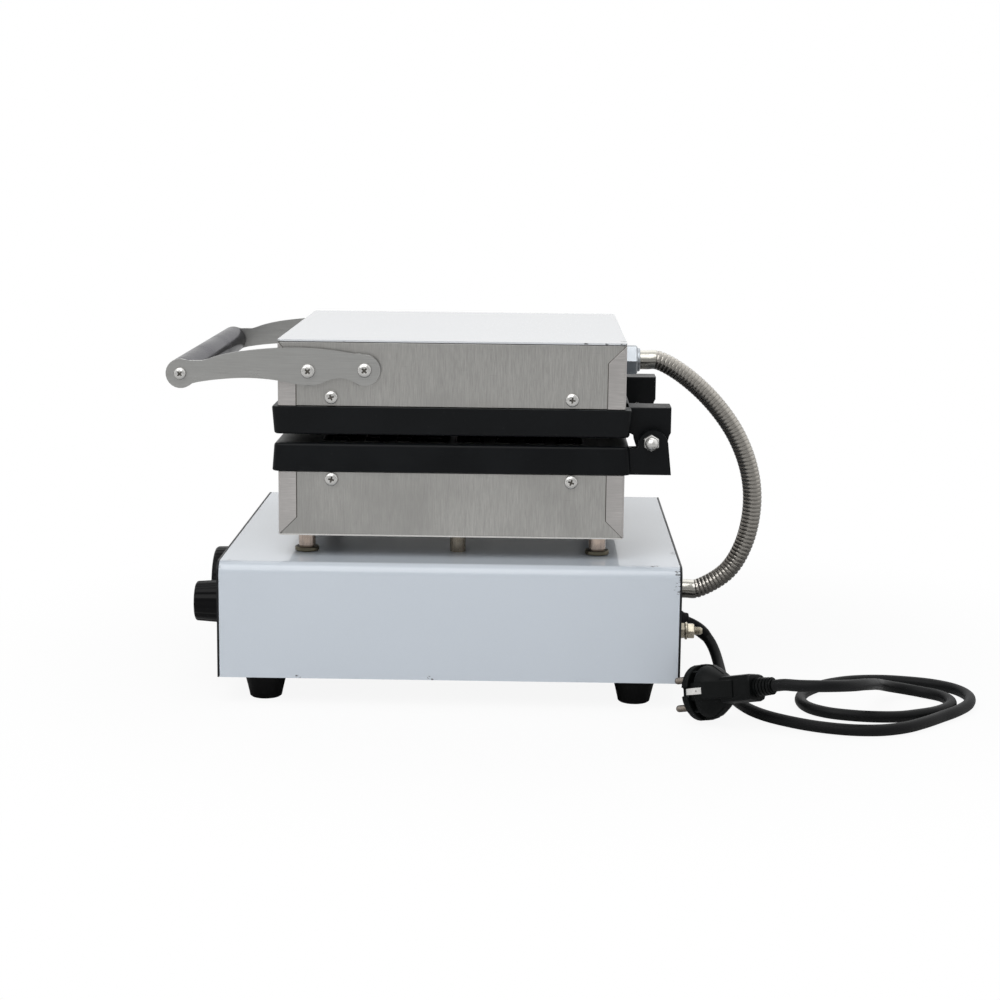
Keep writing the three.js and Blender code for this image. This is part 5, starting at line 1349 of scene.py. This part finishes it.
# %% Finishes for the nodes that stay
KEPT = {
    panel_black: ["front_panel", "back_panel"],
    inner_steel: ["bottom_plate"],
    heater_steel: ["lower_heater", "upper_heater"],
    wool: ["lower_insulation", "upper_insulation"],
    plastic: ["thermostat", "timer"],
    ceramic: ["terminal_block"],
}
for finish, names in KEPT.items():
    for name in names:
        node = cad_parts[name]
        node.data.materials.clear()
        node.data.materials.append(finish)
print("kept nodes:", sum(len(names) for names in KEPT.values()))

# %% [markdown]
# ## Studio
# The object stands on a white floor that fades into a white world, so only its shadow shows. The
# white is for the camera, for gloss and for glass alone, and it fades for gloss towards the side
# of the camera, where a studio is darker. The light on the object comes from a calm grey world,
# one large soft lamp on the camera's side and a weak one opposite.

# %% Floor, world and lamp
FLOOR_HALF, SHADE_MIDDLE, SHADE_NEAR, SHADE_FAR = 9000, (0, -60, 0), 240, 520
ground = Shape()
ways = ((-1, -1), (1, -1), (1, 1), (-1, 1))
ground.prism("Z", -20, -0.1, [(x * FLOOR_HALF, y * FLOOR_HALF) for x, y in ways])
floor_finish = Finish("studio_floor", Roughness=0.9)
ray = floor_finish.node("LightPath", output="Is Camera Ray")
glossy = floor_finish.node("LightPath", output="Is Glossy Ray")
clear = floor_finish.node("LightPath", output="Is Transmission Ray")
tone = floor_finish.mix(floor_finish.noise(900, 1.0), colour(240, 240, 240), colour(246, 246, 246))
floor_finish.set("Base Color", tone)
glow = floor_finish.node("Emission", {}, {"Color": colour(255, 255, 255), "Strength": 1.0})
spot = {"Vector": floor_finish.coordinates(), "Location": SHADE_MIDDLE}
away = {0: floor_finish.node("Mapping", {}, spot)}
away = floor_finish.node("VectorMath", {"operation": "LENGTH"}, away, "Value")
far = floor_finish.band(away, SHADE_NEAR, SHADE_FAR)
white_share = ray * (far * 0.09 + 0.91) + glossy * far * 0.4 + clear * 0.6
seen = floor_finish.node("MixShader", {}, {0: white_share}).socket
join = floor_finish.tree.links.new
join(floor_finish.shader.outputs[0], seen.node.inputs[1])
join(glow.socket, seen.node.inputs[2])
join(seen, floor_finish.tree.nodes["Material Output"].inputs["Surface"])
floor = bpy.data.objects.new("studio_floor", ground.mesh_data("studio_floor", TO_FRAME))
floor.data.materials.append(floor_finish.material)
bpy.context.scene.collection.objects.link(floor)

world = bpy.data.worlds.new("studio_world")
bpy.context.scene.world = world
world.use_nodes = True
sky, links = world.node_tree.nodes, world.node_tree.links


def sky_node(kind, settings, inputs, output=0):
    """One output of a new node in the world's tree."""
    made = add_node(world.node_tree, "ShaderNode" + kind, settings, inputs)
    return made.outputs[output]


paths = sky.new("ShaderNodeLightPath").outputs
way = sky_node("SeparateXYZ", {}, {0: sky_node("TexCoord", {}, {}, "Generated")}, "X")
fade = {"Value": way, "From Min": 0.75, "From Max": 0.1, "To Min": 0.1, "To Max": 1.0}
backdrop = sky_node("MapRange", {"interpolation_type": "SMOOTHSTEP"}, fade)
shiny = sky_node("Math", {"operation": "MULTIPLY"}, {0: paths["Is Glossy Ray"], 1: backdrop})
shiny = sky_node("Math", {"operation": "MAXIMUM"}, {0: shiny, 1: paths["Is Transmission Ray"]})
seen_white = sky_node("Math", {"operation": "MAXIMUM"}, {0: paths["Is Camera Ray"], 1: shiny})
calm = sky_node("Background", {}, {"Color": (1, 1, 1, 1), "Strength": 0.42})
white = sky_node("Background", {}, {"Color": (1, 1, 1, 1), "Strength": 1.0})
chosen = sky_node("MixShader", {}, {0: seen_white, 1: calm, 2: white})
links.new(chosen, sky["World Output"].inputs["Surface"])


def softbox(name, place, size, energy):
    """A square lamp that looks at the machine's middle."""
    lamp = bpy.data.lights.new(name, "AREA")
    lamp.shape, lamp.size, lamp.energy = "SQUARE", size, energy
    box = bpy.data.objects.new(name, lamp)
    box.location = at(*place)
    ahead = at(0, 0, 100) - box.location
    box.rotation_euler = ahead.to_track_quat("-Z", "Y").to_euler()
    bpy.context.scene.collection.objects.link(box)


softbox("key_softbox", (900, -350, 1300), 1.4, 14)
softbox("fill_softbox", (-1000, 400, 1300), 1.4, 4)
